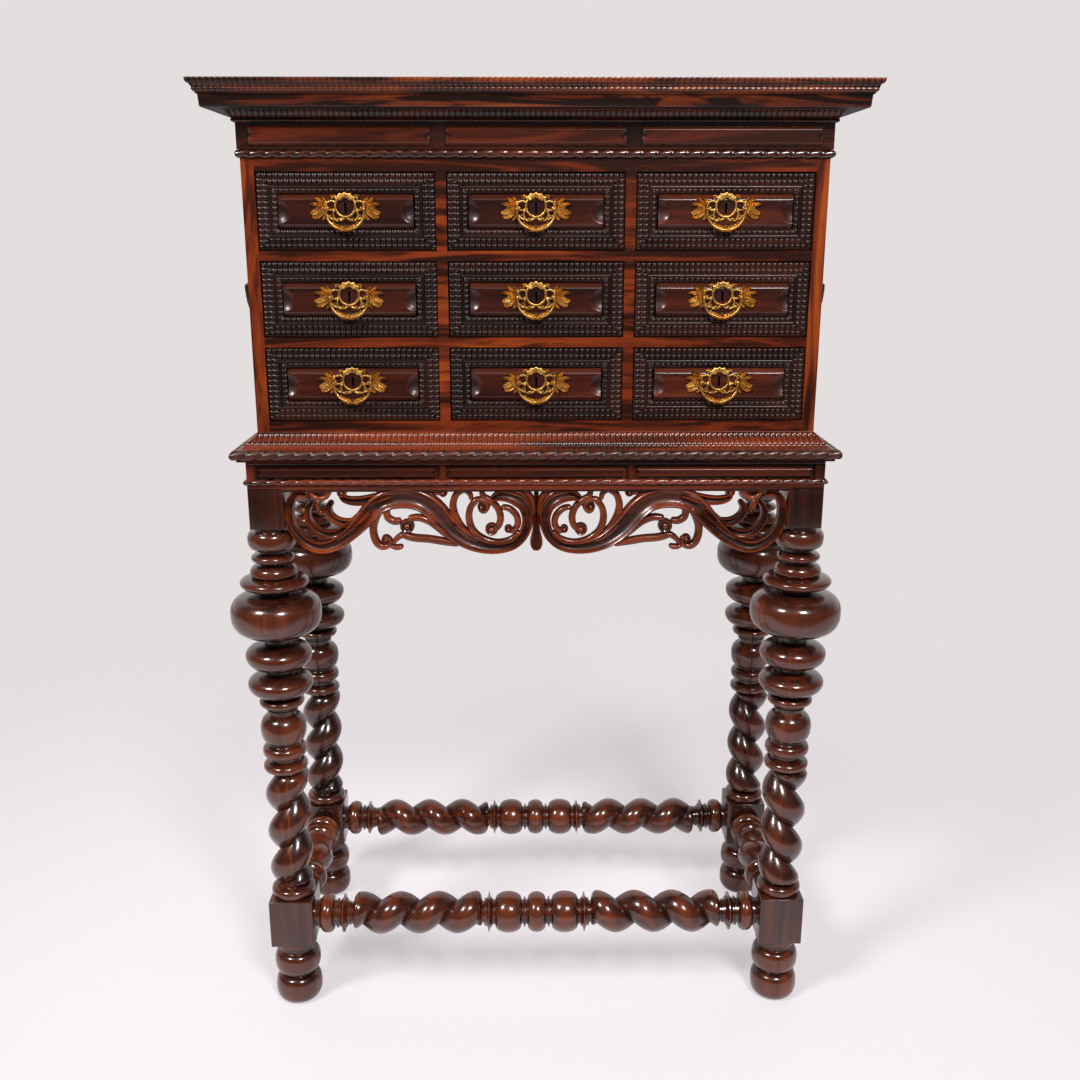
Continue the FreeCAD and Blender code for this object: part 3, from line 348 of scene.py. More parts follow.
red_carved = wood("rosewood_red", *RED, shift=2.0)
figured_carved = wood("rosewood_figured", *FLAMED, shift=3.0, coat=0.2, veins=(0.45, 0.56), flame=(4.6, 38.0, 1.6))
apron_carved = wood("rosewood_apron", *APRON, shift=5.0, gloss=0.27, coat=0.5)
dark_carved = wood("rosewood_dark", *DARK, shift=4.0, gloss=0.22, coat=0.7, veins=(0.30, 0.62))
turned_carved = wood("rosewood_turned", *TURNED, shift=4.6, gloss=0.22, coat=0.7, veins=(0.30, 0.62))
rope_carved = wood("rosewood_rope", *DARK, shift=4.3, gloss=0.38, coat=0.15, veins=(0.30, 0.62))
frieze_carved = wood("rosewood_frieze", *FRIEZE, shift=9.0, coat=0.2, specular=0.26, flame=(3.0, 30.0, 1.4))
band_carved = wood("drawer_bands", *BLACK, shift=6.0, gloss=0.32, coat=0.04, specular=0.25)
panel_carved = wood("drawer_panels", *PANEL, shift=8.0, gloss=0.30, coat=0.2, specular=0.26, veins=(0.28, 0.66))
board = {"shift": 7.0, "coat": 0.1, "flame": (3.6, 36.0, 1.5), "specular": 0.25}
red_boards = {axis: wood(f"rosewood_boards_{axis}", *RED, axis=axis, **board) for axis in "xz"}
board = {"gloss": 0.6, "coat": 0.0, "veins": (0.25, 0.75), "flame": (1.3, 70.0, 0.35)}
inner_boards = {axis: wood(f"inner_wood_{axis}", *PALE, axis=axis, **board) for axis in "xy"}


def metal(name, bright, dull, stain, roughness, metallic, carved):
    """Cast metal: bright where it is rubbed, stained in its hollows, with a fine uneven skin."""
    recipe = Recipe(bpy.data.materials.new(name))
    place = recipe.coordinates()
    cloud = recipe.noise(place, (90.0,) * 3, detail=4.0)
    grit = recipe.noise(place, (560.0,) * 3)
    colour = recipe.mix((*bright, 1), (*dull, 1), cloud.step(0.35, 0.70))
    hollow = grit.step(0.62, 0.80) * 0.5
    if carved:
        relief = Value(recipe, recipe.attribute("relief", "Fac"))
        hollow = 1 - relief.step(0.08, 0.55) * (1 - hollow)
    colour = recipe.mix(colour, (*stain, 1), hollow * 0.85)
    recipe.bump(cloud * 0.4 + grit * 0.6, 0.0009, 0.7)
    return recipe.finish(colour, cloud * 0.18 + hollow * 0.2 + roughness, metallic=metallic)


GILT = ((0.68, 0.385, 0.10), (0.43, 0.195, 0.038), (0.045, 0.018, 0.007))
IRON = ((0.075, 0.062, 0.055), (0.035, 0.028, 0.025), (0.012, 0.009, 0.008))
gilt = metal("gilt_brass", *GILT, roughness=0.27, metallic=0.95, carved=True)
iron = metal("blackened_iron", *IRON, roughness=0.38, metallic=0.85, carved=False)
print("finishes:", len(bpy.data.materials))

# %% [markdown]
# ## A tool for surfaces
# Each new piece is made of grids of points. The shell below gathers such grids, gives each point
# its grain place and its relief, and makes one mesh of them. Doubles are merged, open ends are
# capped and the normals are worked out again, so that every part is a closed body that faces
# outwards. Edges sharper than the given angle stay crisp, and all others are shaded smooth.

# %% Shells and pieces
class Shell:
    """Gathers grids of points, in millimetres, for one mesh. A place, if one is set, is a function
    that carries each new grid to where it belongs."""

    def __init__(self):
        self.place = None
        self.points = []
        self.quads = []
        self.relief = []
        self.grain = []
        self.count = 0

    def grid(self, points, around=False, relief=0.7, grain="x"):
        """Adds rows and columns of points; each cell between four neighbours becomes a face, and
        around joins the last column to the first."""
        points = self.place(points) if self.place else np.asarray(points, float)
        rows, columns = points.shape[:2]
        index = np.arange(rows * columns).reshape(rows, columns) + self.count
        if around:
            index = np.concatenate([index, index[:, :1]], axis=1)
        corners_of_cells = [index[:-1, :-1], index[:-1, 1:], index[1:, 1:], index[1:, :-1]]
        self.quads.append(np.stack(corners_of_cells, axis=-1).reshape(-1, 4))
        self.points.append(points.reshape(-1, 3))
        self.relief.append(np.broadcast_to(relief, (rows, columns)).reshape(-1))
        self.grain.append(points.reshape(-1, 3)[:, ORDER[grain]])
        self.count += rows * columns

    def move(self, offset):
        """A copy of this shell, moved: used for pieces that repeat."""
        twin = Shell()
        twin.points = [points + offset for points in self.points]
        twin.quads, twin.relief, twin.count = self.quads, self.relief, self.count
        twin.grain = [grain + offset for grain in self.grain]
        return twin

    def mesh(self, name, sharp):
        """One closed mesh in metres with its relief and grain attributes."""
        points = (np.concatenate(self.points) * MM).astype(np.float32)
        quads = np.concatenate(self.quads).astype(np.int32)
        mesh = bpy.data.meshes.new(name)
        mesh.vertices.add(len(points))
        mesh.vertices.foreach_set("co", points.ravel())
        mesh.loops.add(quads.size)
        mesh.loops.foreach_set("vertex_index", quads.ravel())
        mesh.polygons.add(len(quads))
        mesh.polygons.foreach_set("loop_start", np.arange(0, quads.size, 4, dtype=np.int32))
        mesh.update(calc_edges=True)
        relief = mesh.attributes.new("relief", "FLOAT", "POINT")
        relief.data.foreach_set("value", np.concatenate(self.relief).astype(np.float32))
        grain = mesh.attributes.new("grain", "FLOAT_VECTOR", "POINT")
        grain.data.foreach_set("vector", (np.concatenate(self.grain) * MM).astype(np.float32).ravel())
        work = bmesh.new()
        work.from_mesh(mesh)
        bmesh.ops.remove_doubles(work, verts=work.verts, dist=4e-6)
        open_edges = [edge for edge in work.edges if edge.is_boundary]
        bmesh.ops.holes_fill(work, edges=open_edges, sides=0)
        bmesh.ops.recalc_face_normals(work, faces=work.faces)
        work.to_mesh(mesh)
        work.free()
        mesh.polygons.foreach_set("use_smooth", np.ones(len(mesh.polygons), bool))
        mesh.set_sharp_from_angle(angle=math.radians(sharp))
        return mesh


def make_piece(name, shell, body, material, nodes=(), sharp=42):
    """Turns a shell into a finished piece that rides on a body and stands for CAD nodes."""
    mesh = shell.mesh(name, sharp)
    mesh.materials.append(material)
    piece = bpy.data.objects.new(name, mesh)
    bpy.context.scene.collection.objects.link(piece)
    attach(piece, body)
    if nodes:
        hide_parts(*nodes)
    return piece


def curve_through(controls, count):
    """Points on a smooth curve through the controls: on each span a cubic whose ends and slopes
    are given by the four nearest controls. Any number of values may be carried along."""
    controls = np.asarray(controls, float)
    padded = np.concatenate([2 * controls[:1] - controls[1:2], controls, 2 * controls[-1:] - controls[-2:-1]])
    at = np.linspace(0, len(controls) - 1, count)
    span = np.minimum(at.astype(int), len(controls) - 2)
    t = (at - span)[:, None]
    a, b, c, d = (padded[span + step] for step in range(4))
    return b + 0.5 * t * (c - a + t * (2 * a - 5 * b + 4 * c - d + t * (3 * (b - c) + d - a)))


def rounded_block(shell, low, high, radius, grain="x", steps=3):
    """Box with rounded edges: a rounded outline is carried up, and drawn in by a quarter circle at
    the bottom and at the top."""
    low, high = np.asarray(low, float), np.asarray(high, float)
    turn = np.linspace(0, math.pi / 2, steps + 1)
    rise = radius * (1 - np.cos(turn))
    rise = np.concatenate([rise, (high - low)[2] - rise[::-1]])
    spread = (radius * np.sin(np.concatenate([turn, turn[::-1]])))[:, None]
    quarters = np.arange(4) * math.pi / 2
    corner = np.concatenate([quarter + turn for quarter in quarters])
    facing = np.repeat(quarters + math.pi / 4, steps + 1)
    middle, half = (low + high) / 2, (high - low) / 2
    x = middle[0] + np.sign(np.cos(facing)) * (half[0] - radius) + spread * np.cos(corner)
    y = middle[1] + np.sign(np.sin(facing)) * (half[1] - radius) + spread * np.sin(corner)
    z = np.broadcast_to((low[2] + rise)[:, None], x.shape)
    shell.grid(np.stack([x, y, z], axis=-1), around=True, grain=grain, relief=0.75)


print("shell tools ready")

# %% [markdown]
# ## Turned work
# On a lathe a leg is a profile of beads, rings, discs and narrow necks, spun round its axis. In
# Blender the profile could be a curve with a Screw modifier, but an array of heights and radii can
# be written straight from the turner's own list of members. The twist between the turnings is
# one fat strand wound round a thinner core, and its grid follows the strand, so that the groove
# stays sharp and the round of the strand stays smooth.


# %% Members of a turning
COIL_FADE = 9.0


def bead(low, peak, high, foot, head, radius, count=9, full=0.86):
    """Round member: two quarter ovals, out from the foot radius at low to the radius at peak and
    back to the head radius at high. Cosine and sine are raised to a power: 1 gives an ellipse, and
    less makes the member fuller at its shoulders."""
    turn = np.linspace(0, math.pi / 2, count)
    rise, reach = np.cos(turn).clip(0) ** full, np.sin(turn) ** full
    lower = np.stack([peak - (peak - low) * rise, foot + (radius - foot) * reach], axis=-1)
    upper = np.stack([peak + (high - peak) * rise, head + (radius - head) * reach], axis=-1)[::-1][1:]
    return np.concatenate([lower, upper])


def disc(low, peak, high, foot, head, radius):
    """Thin member with a fine edge: two hollow curves that meet at the radius, each one quarter of
    an ellipse seen from the other side, with a small flat on the edge."""
    turn = np.linspace(0, math.pi / 2, 5)
    edge = 0.08 * (high - low)
    rise = peak - edge - low
    lower = np.stack([low + rise * np.sin(turn), foot + (radius - foot) * (1 - np.cos(turn)) ** 0.75], axis=-1)
    turn = turn[::-1]
    drop = high - peak - edge
    upper = np.stack([high - drop * np.sin(turn), head + (radius - head) * (1 - np.cos(turn)) ** 0.75], axis=-1)
    return np.concatenate([lower, upper])


def neck(low, high, radius):
    """Straight member."""
    return np.array([[low, radius], [high, radius]], float)


def placed(points, centre, axis):
    """Points worked out round the Z axis, laid along another axis by rolling their coordinates,
    which keeps the hand of a twist, and moved to the centre line."""
    return np.roll(points, "zxy".index(axis), axis=-1) + np.asarray(centre, float)


def spin(shell, members, centre, axis="z", around=48):
    """Carries the profile of heights and radii round its axis. The relief is high on the widest
    places and low in the necks, so the finish paints the widest places lighter, partly as wear and
    partly as a painted highlight, and the necks darker, partly as dust and partly as painted shade."""
    height, radius = np.concatenate(members).T
    turn = full_turn(around)
    x = radius[:, None] * np.cos(turn)
    y = radius[:, None] * np.sin(turn)
    z = np.broadcast_to(height[:, None], x.shape)
    near = np.array([radius[max(0, place - 7):place + 8].max() for place in range(len(radius))])
    relief = np.clip(1.25 * radius / near - 0.25, 0, 1)[:, None]
    shell.grid(placed(np.stack([x, y, z], axis=-1), centre, axis), around=True, relief=relief, grain=axis)


def coil(shell, low, high, radius, root, pitch, crest, centre, axis="z", hand=1, around=36):
    """Single barley twist. Along the strand the angle s grows and the height with it, pitch by
    turn; across the strand, with v from -1 to 1, height = strand + pitch / 2 * v and radius = root +
    (radius - root) * ((1 + cos(180 v)) / 2) ** 0.45: a full strand and a smooth hollow that
    neighbouring turns share. Near both ends the strand sinks into the core. A hand of -1 winds the
    other way; crest is a height at which the strand's crest passes the angle 0."""
    first = math.floor((low - crest) / pitch - 1)
    turns = math.ceil((high - crest) / pitch + 1) - first
    s = 2 * math.pi * (first + np.arange(turns * around + 1) / around)
    v = np.linspace(-1, 1, 19)
    v = v + 0.10 * np.sin(math.pi * v)
    round_of = np.clip(0.5 + 0.5 * np.cos(math.pi * v), 0, 1) ** 0.45
    z = crest + pitch * s[:, None] / (2 * math.pi) + pitch / 2 * v
    inside = np.clip(np.minimum(z - low, high - z) / COIL_FADE, 0, 1)
    swell = np.sqrt(np.clip(1 - (1 - inside) ** 2, 0, 1))
    reach = root + (radius - root) * round_of * swell
    z = np.clip(z, low, high)
    turn = hand * s[:, None]
    points = np.stack([reach * np.cos(turn), reach * np.sin(turn), z], axis=-1)
    kept = (z.max(axis=1) > low) & (z.min(axis=1) < high)
    # Relief low in the groove and high on the crest: the finish paints the groove darker, partly dust and partly
    # painted shade, and the crest lighter, partly wear and partly a painted highlight
    relief = 0.12 + 0.85 * round_of * swell
    shell.grid(placed(points[kept], centre, axis), relief=relief[kept], grain=axis)


print("members: bead, disc, neck, coil")

# %% [markdown]
# ## The four legs
# A leg is one stick: bun foot, collar, square block for the stretchers, twist, a run of beads, a
# big bulb, and the square block under the rail. The right legs wind the other way from the left.

# %% Legs
LEG_X, LEG_Y = 400.0, 160.0
LEG_PITCH, LEG_CREST = 65.8, 207.2
LEG_STRAND, LEG_CORE = 35.0, 17.5
TWIST_LOW, TWIST_HIGH = 214, 416
# Half width, foot and top of each square block
LOWER_BLOCK, UPPER_BLOCK = (35, 112, 194), (26, 817, 880)
FOOT = [
    neck(0, 0, 21), bead(0.5, 22, 46, 23, 26, 38), neck(47, 51, 25), bead(52, 71.5, 90, 27, 27, 37.5),
    neck(90.5, 97, 26.5), neck(98, 103, 30), neck(104, 112.5, 33),
]
ANKLE = [neck(193, 195, 30), bead(195.5, 203, 212, 30, 24, 35), neck(212.5, 216, 21)]
UPPER_LEG = [
    neck(413, 415.5, 21), bead(416, 424.5, 432, 24, 24, 34.7), neck(433, 438, 22), neck(438.5, 440.5, 25),
    bead(441.5, 451, 460.5, 26, 26, 34.4), neck(461.5, 465, 25),
    bead(465.5, 489, 511, 25, 22, 35.8, 12, 1.0), neck(512, 518, 20), neck(518.5, 521, 24), neck(521.5, 525, 22),
    bead(526.5, 534.4, 541, 24, 24, 34.8, 6), neck(541.5, 545.5, 23),
    bead(546, 565.5, 580, 26, 24, 50, 11, 0.95), neck(580.5, 587, 22), neck(587.5, 590.5, 25),
    bead(591, 612, 629, 26, 24, 50.8, 12, 0.95), neck(629.5, 637, 21.5), neck(637.5, 640.5, 26),
    neck(641, 645, 22), bead(645.5, 681, 711, 26, 32, 69, 20, 0.8), neck(711.5, 716.5, 25),
    neck(717, 719.5, 30), bead(720, 730, 738.5, 34, 30, 51.8, 10, 0.95), bead(739.5, 744.5, 757, 30, 22, 35.5, 6),
    neck(757.5, 761, 19), bead(762, 768.5, 774.5, 21, 21, 32.4, 7), neck(775.5, 779, 19), neck(779.5, 782, 24),
    bead(782.5, 797.5, 811, 26, 27, 36.2, 9), neck(811.5, 817.5, 25),
]


def leg_shell(side_x, side_y):
    """One leg: blocks, lathe profile and twist on one axis, wound by the side that it stands on."""
    shell = Shell()
    x, y = LEG_X * side_x, LEG_Y * side_y
    centre = (x, y, 0)

    def block(half, foot, top, radius):
        rounded_block(shell, (x - half, y - half, foot), (x + half, y + half, top), radius, "z")

    spin(shell, FOOT, centre)
    block(*LOWER_BLOCK, 1.2)
    coil(shell, TWIST_LOW, TWIST_HIGH, LEG_STRAND, LEG_CORE, LEG_PITCH, LEG_CREST, centre, hand=-side_x)
    spin(shell, ANKLE, centre)
    spin(shell, UPPER_LEG, centre, around=56)
    block(*UPPER_BLOCK, 1.0)
    return shell


for side_y, depth_name in ((-1, "front"), (1, "rear")):
    for side_x, side_name in ((-1, "left"), (1, "right")):
        node = f"leg_{depth_name}_{side_name}"
        shell = leg_shell(side_x, side_y)
        piece = make_piece(f"{node}_turned", shell, "cabinet", dark_carved, (node,), sharp=50)
        print(node, "faces:", len(piece.data.polygons))

# %% [markdown]
# ## The stretchers
# The long stretchers have two twists of opposite hand between turned ends and a turned middle; the
# short ones have one twist. They are turned like the legs and laid along X or Y.

# %% Stretchers
STRETCHER_HEIGHT = 153.0
STRETCHER_PITCH = 63.0
LONG_HALF, SHORT_HALF, END_LENGTH = 365.0, 125.0, 62
LONG_TWIST_START, LONG_CREST = 90, 215.5


def stretcher_end(start, toward):
    """Turned end from a leg's face: neck, fat bead, small rings and a sharp disc."""
    members = [
        neck(0, 6, 21), neck(6.5, 8.5, 24), bead(9, 20, 31, 23, 22, 31.5, 9, 1.0), neck(31.5, 35, 20),
        neck(35.5, 38, 23.5), neck(38.5, 41, 20), disc(41.5, 47, 52.5, 22, 22, 30.5), neck(53, 58, 19),
        neck(58.5, 62.5, 17.5),
    ]
    return [np.stack([start + toward * member[:, 0], member[:, 1]], axis=-1) for member in members]


HALF_MIDDLE = [
    neck(-90.5, -87, 17.5), neck(-86.5, -84.5, 22), disc(-84, -78.5, -73, 22, 22, 31.5), neck(-72.5, -69, 20),
    bead(-68.5, -46.5, -25, 21, 21, 33.2, 12, 1.0), neck(-24.5, -22, 19.5), neck(-21.5, -18.5, 24),
    neck(-18, -15.5, 20),
]
STRETCHER_MIDDLE = HALF_MIDDLE + [bead(-15, 0, 15, 21, 21, 32.4, 10, 1.0)]
STRETCHER_MIDDLE += [member[::-1] * (-1, 1) for member in HALF_MIDDLE[::-1]]


def long_stretcher(side_y):
    """Two turned ends, two mirrored twists and a turned middle, along X."""
    shell = Shell()
    centre = (0, side_y * LEG_Y, STRETCHER_HEIGHT)
    for side in (-1, 1):
        spin(shell, stretcher_end(side * LONG_HALF, -side), centre, "x", around=36)
        low, high = sorted((side * LONG_TWIST_START, side * (LONG_HALF - END_LENGTH)))
        hand = -side * side_y
        coil(shell, low, high, 33.8, 17.0, STRETCHER_PITCH, side * LONG_CREST, centre, "x", hand=hand, around=32)
    spin(shell, STRETCHER_MIDDLE, centre, "x", around=36)
    return shell


def short_stretcher(side_x):
    """Two turned ends and one twist, along Y."""
    shell = Shell()
    centre = (side_x * LEG_X, 0, STRETCHER_HEIGHT)
    for side in (-1, 1):
        spin(shell, stretcher_end(side * SHORT_HALF, -side), centre, "y", around=36)
    reach = SHORT_HALF - END_LENGTH
    coil(shell, -reach, reach, 33.0, 17.5, STRETCHER_PITCH, 0, centre, "y", hand=-side_x, around=32)
    return shell


for node, shell in (
    ("stretcher_front", long_stretcher(-1)), ("stretcher_rear", long_stretcher(1)),
    ("stretcher_left", short_stretcher(-1)), ("stretcher_right", short_stretcher(1)),
):
    piece = make_piece(f"{node}_turned", shell, "cabinet", turned_carved, (node,), sharp=50)
    print(node, "faces:", len(piece.data.polygons))

# %% [markdown]
# ## Rippled mouldings
# A rippled, or waved, moulding was scraped on a machine that lifted the cutter as the strip moved
# past it: its section is a row of beads and hollows, and each rippled one rises and falls with a
# sharp valley between round waves. Here a section is a list of curved steps, each with the depth
# of its wave, and the section is carried along straight runs whose ends are mitred by clipping
# every line of the section at its own corner.


# %% Sections and runs
case_low, case_high = corners("case_side_left")
HALF_CASE = -case_low[0]
CASE_FRONT, CASE_BACK = case_low[1], case_high[1]
CASE_TOP = case_high[2]
RIPPLE = 2 * HALF_CASE / 104


def section_through(*steps):
    """Section as points (out, up, wave). A step is (out, up, bulge, wave, count). With no bulge it is
    a plain corner. Otherwise it goes there from the last point with half an ellipse of the bulge on
    it, and its wave's depth follows the bulge, so that its edges stay straight."""
    section = []
    for out, up, *curve in steps:
        bulge, wave, count = curve + [0.0, 0.0, 7][len(curve):]
        if bulge == 0:
            section.append((out, up, wave))
            continue
        start = np.array(section[-1][:2])
        along = np.array((out, up), float) - start
        normal = np.array((along[1], -along[0])) / np.hypot(*along)
        turn = np.linspace(0, math.pi, count)[1:]
        line = start + np.outer((1 - np.cos(turn)) / 2, along) + np.outer(np.sin(turn) * bulge, normal)
        section.extend((x, y, wave * math.sin(angle)) for (x, y), angle in zip(line, turn))
    return np.array(section)


def run(section, low, high, pitch, steps=6):
    """Carries a section along a straight run. Every line of the section starts at its own low and
    ends at its own high, which mitres the ends. A wave sinks by depth * (1 - |sin| ** 0.62) along the
    section's normal and is half sunk at the ends. Its valleys get a low relief, which the finish paints
    darker, partly as dust and partly as painted shade. A negative depth marks an underside that gets
    relief 0, which paints it dark as shade."""
    out, up, wave = section.T
    low = np.broadcast_to(low, len(section))
    high = np.broadcast_to(high, len(section))
    pace = pitch / steps
    s = pace * np.arange(math.floor(low.min() / pace), math.ceil(high.max() / pace) + 1)
    along = np.clip(s[:, None], low, high)
    ripple = np.abs(np.sin(math.pi * s / pitch))[:, None] ** 0.62
    ripple = np.where((s[:, None] > low) & (s[:, None] < high), ripple, 0.5)
    ahead = np.roll(section[:, :2], -1, axis=0) - np.roll(section[:, :2], 1, axis=0)
    normal = np.stack([ahead[:, 1], -ahead[:, 0]])
    normal /= np.maximum(np.hypot(*normal), 1e-9)
    sink = wave.clip(0) * (1 - ripple)
    # Relief: low in the ripples' valleys (painted darker, partly dust and partly painted shade) and 0 on a marked
    # underside (painted shade)
    relief = np.where(wave > 0, 0.14 + 0.80 * ripple, np.where(wave < 0, 0.0, 0.7))
    return along, out - sink * normal[0], up - sink * normal[1], relief


def round_case(shell, shape, out, floor, front, back):
    """Lays a moulding along the front of the case and along both sides, mitred where they meet. The
    shape is a function of a run's low and high end, and out is how far from the case each of its
    lines meets the mitre."""
    along, reach, up, relief = shape(-HALF_CASE - out, HALF_CASE + out)
    shell.grid(np.stack([along, front - reach, floor + up], axis=-1), around=True, relief=relief)
    along, reach, up, relief = shape(front - out, back)
    for side in (-1, 1):
        points = np.stack([side * (HALF_CASE + reach), along, floor + up], axis=-1)
        shell.grid(points, around=True, relief=relief, grain="y")


def surround(shell, section, floor, pitch=RIPPLE, steps=6):
    """Carries a section round the case, with its first axis outwards and its second one upwards
    from the floor."""
    def shape(low, high):
        return run(section, low, high, pitch, steps)

    round_case(shell, shape, section[:, 0], floor, CASE_FRONT, CASE_BACK)


print("sections and runs ready")

# %% [markdown]
# ## Cornice, frieze and base
# The cornice steps out from the case with a rippled cove, a plain fascia that shows its grain, and
# rippled mouldings above it. The base spreads in the same way towards the stand. Between cornice
# and drawers lies a frieze with three raised panels whose ends are scooped out.

# %% Cornice
TOP = corners("cornice")[1][2]
# A negative wave marks the cornice's underside: it gets relief 0 and is painted dark as shade
PAINTED_SHADE = -1.0

shell = Shell()
surround(shell, section_through(
    (0.0, 0.2), (4.6, 0.2), (7.4, 4.2, 1.6, 1.2), (16.4, 15.4, -2.6, 1.5, 9), (17.4, 16.4, 0, PAINTED_SHADE),
    (39.4, 16.6, 0, PAINTED_SHADE), (40.2, 17.4), (41.4, 32.4), (43.8, 33.2), (44.2, 35.0), (47.4, 39.6, 1.2, 1.0),
    (51.6, 45.6, -1.4, 1.0), (53.6, 52.6, 1.5, 1.1, 8), (50.0, 53.0), (0.0, 53.0),
), CASE_TOP)
low = (-HALF_CASE + 0.5, CASE_BACK - 20, CASE_TOP + 0.3)
rounded_block(shell, low, (HALF_CASE - 0.5, CASE_BACK - 0.7, TOP - 17.5), 0.8)
piece = make_piece("cornice_moulding", shell, "cabinet", figured_carved, ("cornice",))
shell = Shell()
lid_edge = HALF_CASE + 8
rounded_block(shell, (-lid_edge, CASE_FRONT - 8, TOP - 18), (lid_edge, CASE_BACK - 0.5, TOP - 0.6), 1.0)
make_piece("cornice_lid", shell, "cabinet", red_carved)
print("cornice faces:", len(piece.data.polygons))


# %% Raised panels with scooped ends
PANEL_FOOT = -1.0


def raised_panel(shell, centre, half_width, half_height, rise, edge, scoop, slot=None):
    """Raised panel on the plane y = centre: a flat field, long edges that slope like a quarter of an
    oval (z goes as sin ** 1.5 and height as cos ** 1.5, which is nearly a straight bevel),
    and at each end a bowl whose lip is half an ellipse of the scoop's depth. In the bowl, with q
    from 0 at the end's middle to 1 at the lip, the height goes as q ** 1.9, which leaves a crisp lip.
    A slot (half width, low, high) is left open and walled as a keyhole."""
    x0, y0, z0 = centre
    field = half_height - edge

    def add(x, z, height, relief=0.75):
        x, z, height = np.broadcast_arrays(x, z, height)
        shell.grid(np.stack([x0 + x, y0 - height, z0 + z], axis=-1), relief=relief)

    turn = np.linspace(0, math.pi / 2, 6)
    phi = np.linspace(-math.pi / 2, math.pi / 2, 19)
    edge_z = np.concatenate([field + edge * np.sin(turn) ** 1.5, [half_height]])
    edge_h = np.concatenate([0.6 + (rise - 0.6) * np.cos(turn).clip(0) ** 1.5, [PANEL_FOOT]])
    inner = half_width - 1.6 * scoop
    columns = np.linspace(-inner, inner, 13)
    rows = field * np.sin(phi)
    if slot:
        wide, slot_low, slot_high = slot
        middle = np.array([-wide, 0, wide])
        columns = np.unique(np.concatenate([columns[np.abs(columns) > wide + 2], middle]))
        rows = np.unique(np.concatenate([rows, slot[1:]]))
        add(columns[columns <= -wide][:, None], rows, rise)
        add(columns[columns >= wide][:, None], rows, rise)
        add(middle[:, None], rows[rows <= slot_low], rise)
        add(middle[:, None], rows[rows >= slot_high], rise)
        tall = rows[(rows >= slot_low) & (rows <= slot_high)]
        # The keyhole's walls and floor get relief 0, so the finish paints them dark: painted shade in the hole
        depth = np.array([rise, 1.0])
        for side in (-wide, wide):
            add(side, tall[:, None], depth, 0.0)
        for end in (slot_low, slot_high):
            add(middle[:, None], end, depth, 0.0)
        add(middle[:, None], tall, 1.0, 0.0)
    else:
        add(columns[:, None], rows, rise)
    ends = np.linspace(0, 1, 5)
    q = np.linspace(0, 1, 13)[:, None]
    lip = half_width - scoop * np.sqrt(np.clip(1 - (rows / field) ** 2, 0, 1))
    height = 0.36 * rise + 0.64 * rise * q ** 1.9
    wall_z = field * np.concatenate([-q[::-1], q[1:]])
    wall_h = np.concatenate([height[::-1], height[1:]])
    # In the bowls the relief rises from 0.1 at the end to 1 at the lip, and the end walls get 0.3: the finish
    # paints bowls and walls dark as painted shade and the lip light as a painted highlight
    for side in (-1, 1):
        add(side * (inner + ends[:, None] * (lip - inner)), rows, rise)
        add(side * (half_width - q * (half_width - lip)), q * rows, height, 0.10 + 0.9 * q ** 4)
        add(side * half_width, wall_z, np.hstack([wall_h, np.full_like(wall_h, PANEL_FOOT)]), 0.3)
    beyond = inner + ends * (half_width - inner)
    long_x = np.unique(np.round(np.concatenate([-beyond, columns, beyond]), 6))
    # Relief 1 on the long edges: the finish paints these bevels lighter, a painted highlight
    for side in (-1, 1):
        add(long_x[:, None], side * edge_z, edge_h, 1.0)
        for end in (-half_width, half_width):
            add(end, side * edge_z[:, None], np.stack([edge_h, np.full_like(edge_h, PANEL_FOOT)], axis=-1), 0.5)


def three_panels(pitch, y, z, *measures):
    """Shell with three raised panels side by side, their middles a pitch apart."""
    shell = Shell()
    for number in (-1, 0, 1):
        raised_panel(shell, (number * pitch, y, z), *measures)
    return shell


print("raised panels ready")

# %% Frieze
frieze_low, frieze_high = corners("frieze")
FRIEZE_PITCH, FRIEZE_MIDDLE = 270.0, (frieze_low[2] + frieze_high[2]) / 2
shell = Shell()
surround(shell, section_through((0, 0), (3, 0), (3, 35), (0, 35)), frieze_low[2], 120.0, 1)
piece = make_piece("frieze_board", shell, "cabinet", dark_carved, ("frieze",))
shell = three_panels(FRIEZE_PITCH, CASE_FRONT - 3.0, FRIEZE_MIDDLE, 124.0, 12.6, 6.4, 4.6, 7.0)
piece = make_piece("frieze_panels", shell, "cabinet", frieze_carved)
print("frieze faces:", len(piece.data.polygons))


# %% Rope mouldings
def rope(shell, radius, out, height, pitch, front=CASE_FRONT, around=20, strand=0.30):
    """Rope moulding round the case: a tube whose radius is radius * (1 - strand + strand *
    |sin(pi * s / pitch - angle)| ** 0.4), so that two strands wind round each other."""
    angle = full_turn(around)
    pace = pitch / 12

    def wound(low, high):
        s = pace * np.arange(math.floor(np.min(low) / pace), math.ceil(np.max(high) / pace) + 1)
        along = np.clip(s[:, None], low, high)
        twist = np.abs(np.sin(math.pi * along / pitch - angle)) ** 0.4
        size = radius * (1 - strand + strand * twist)
        return along, out + size * np.cos(angle), size * np.sin(angle), 0.15 + 0.8 * twist

    round_case(shell, wound, out + radius * np.cos(angle), height, front, CASE_BACK - 0.2)


shell = Shell()
rope(shell, 5.8, 0.0, 1349.2, 20.8)
piece = make_piece("rope_upper", shell, "cabinet", dark_carved, ("rope_moulding_upper",), sharp=60)
print("upper rope faces:", len(piece.data.polygons))

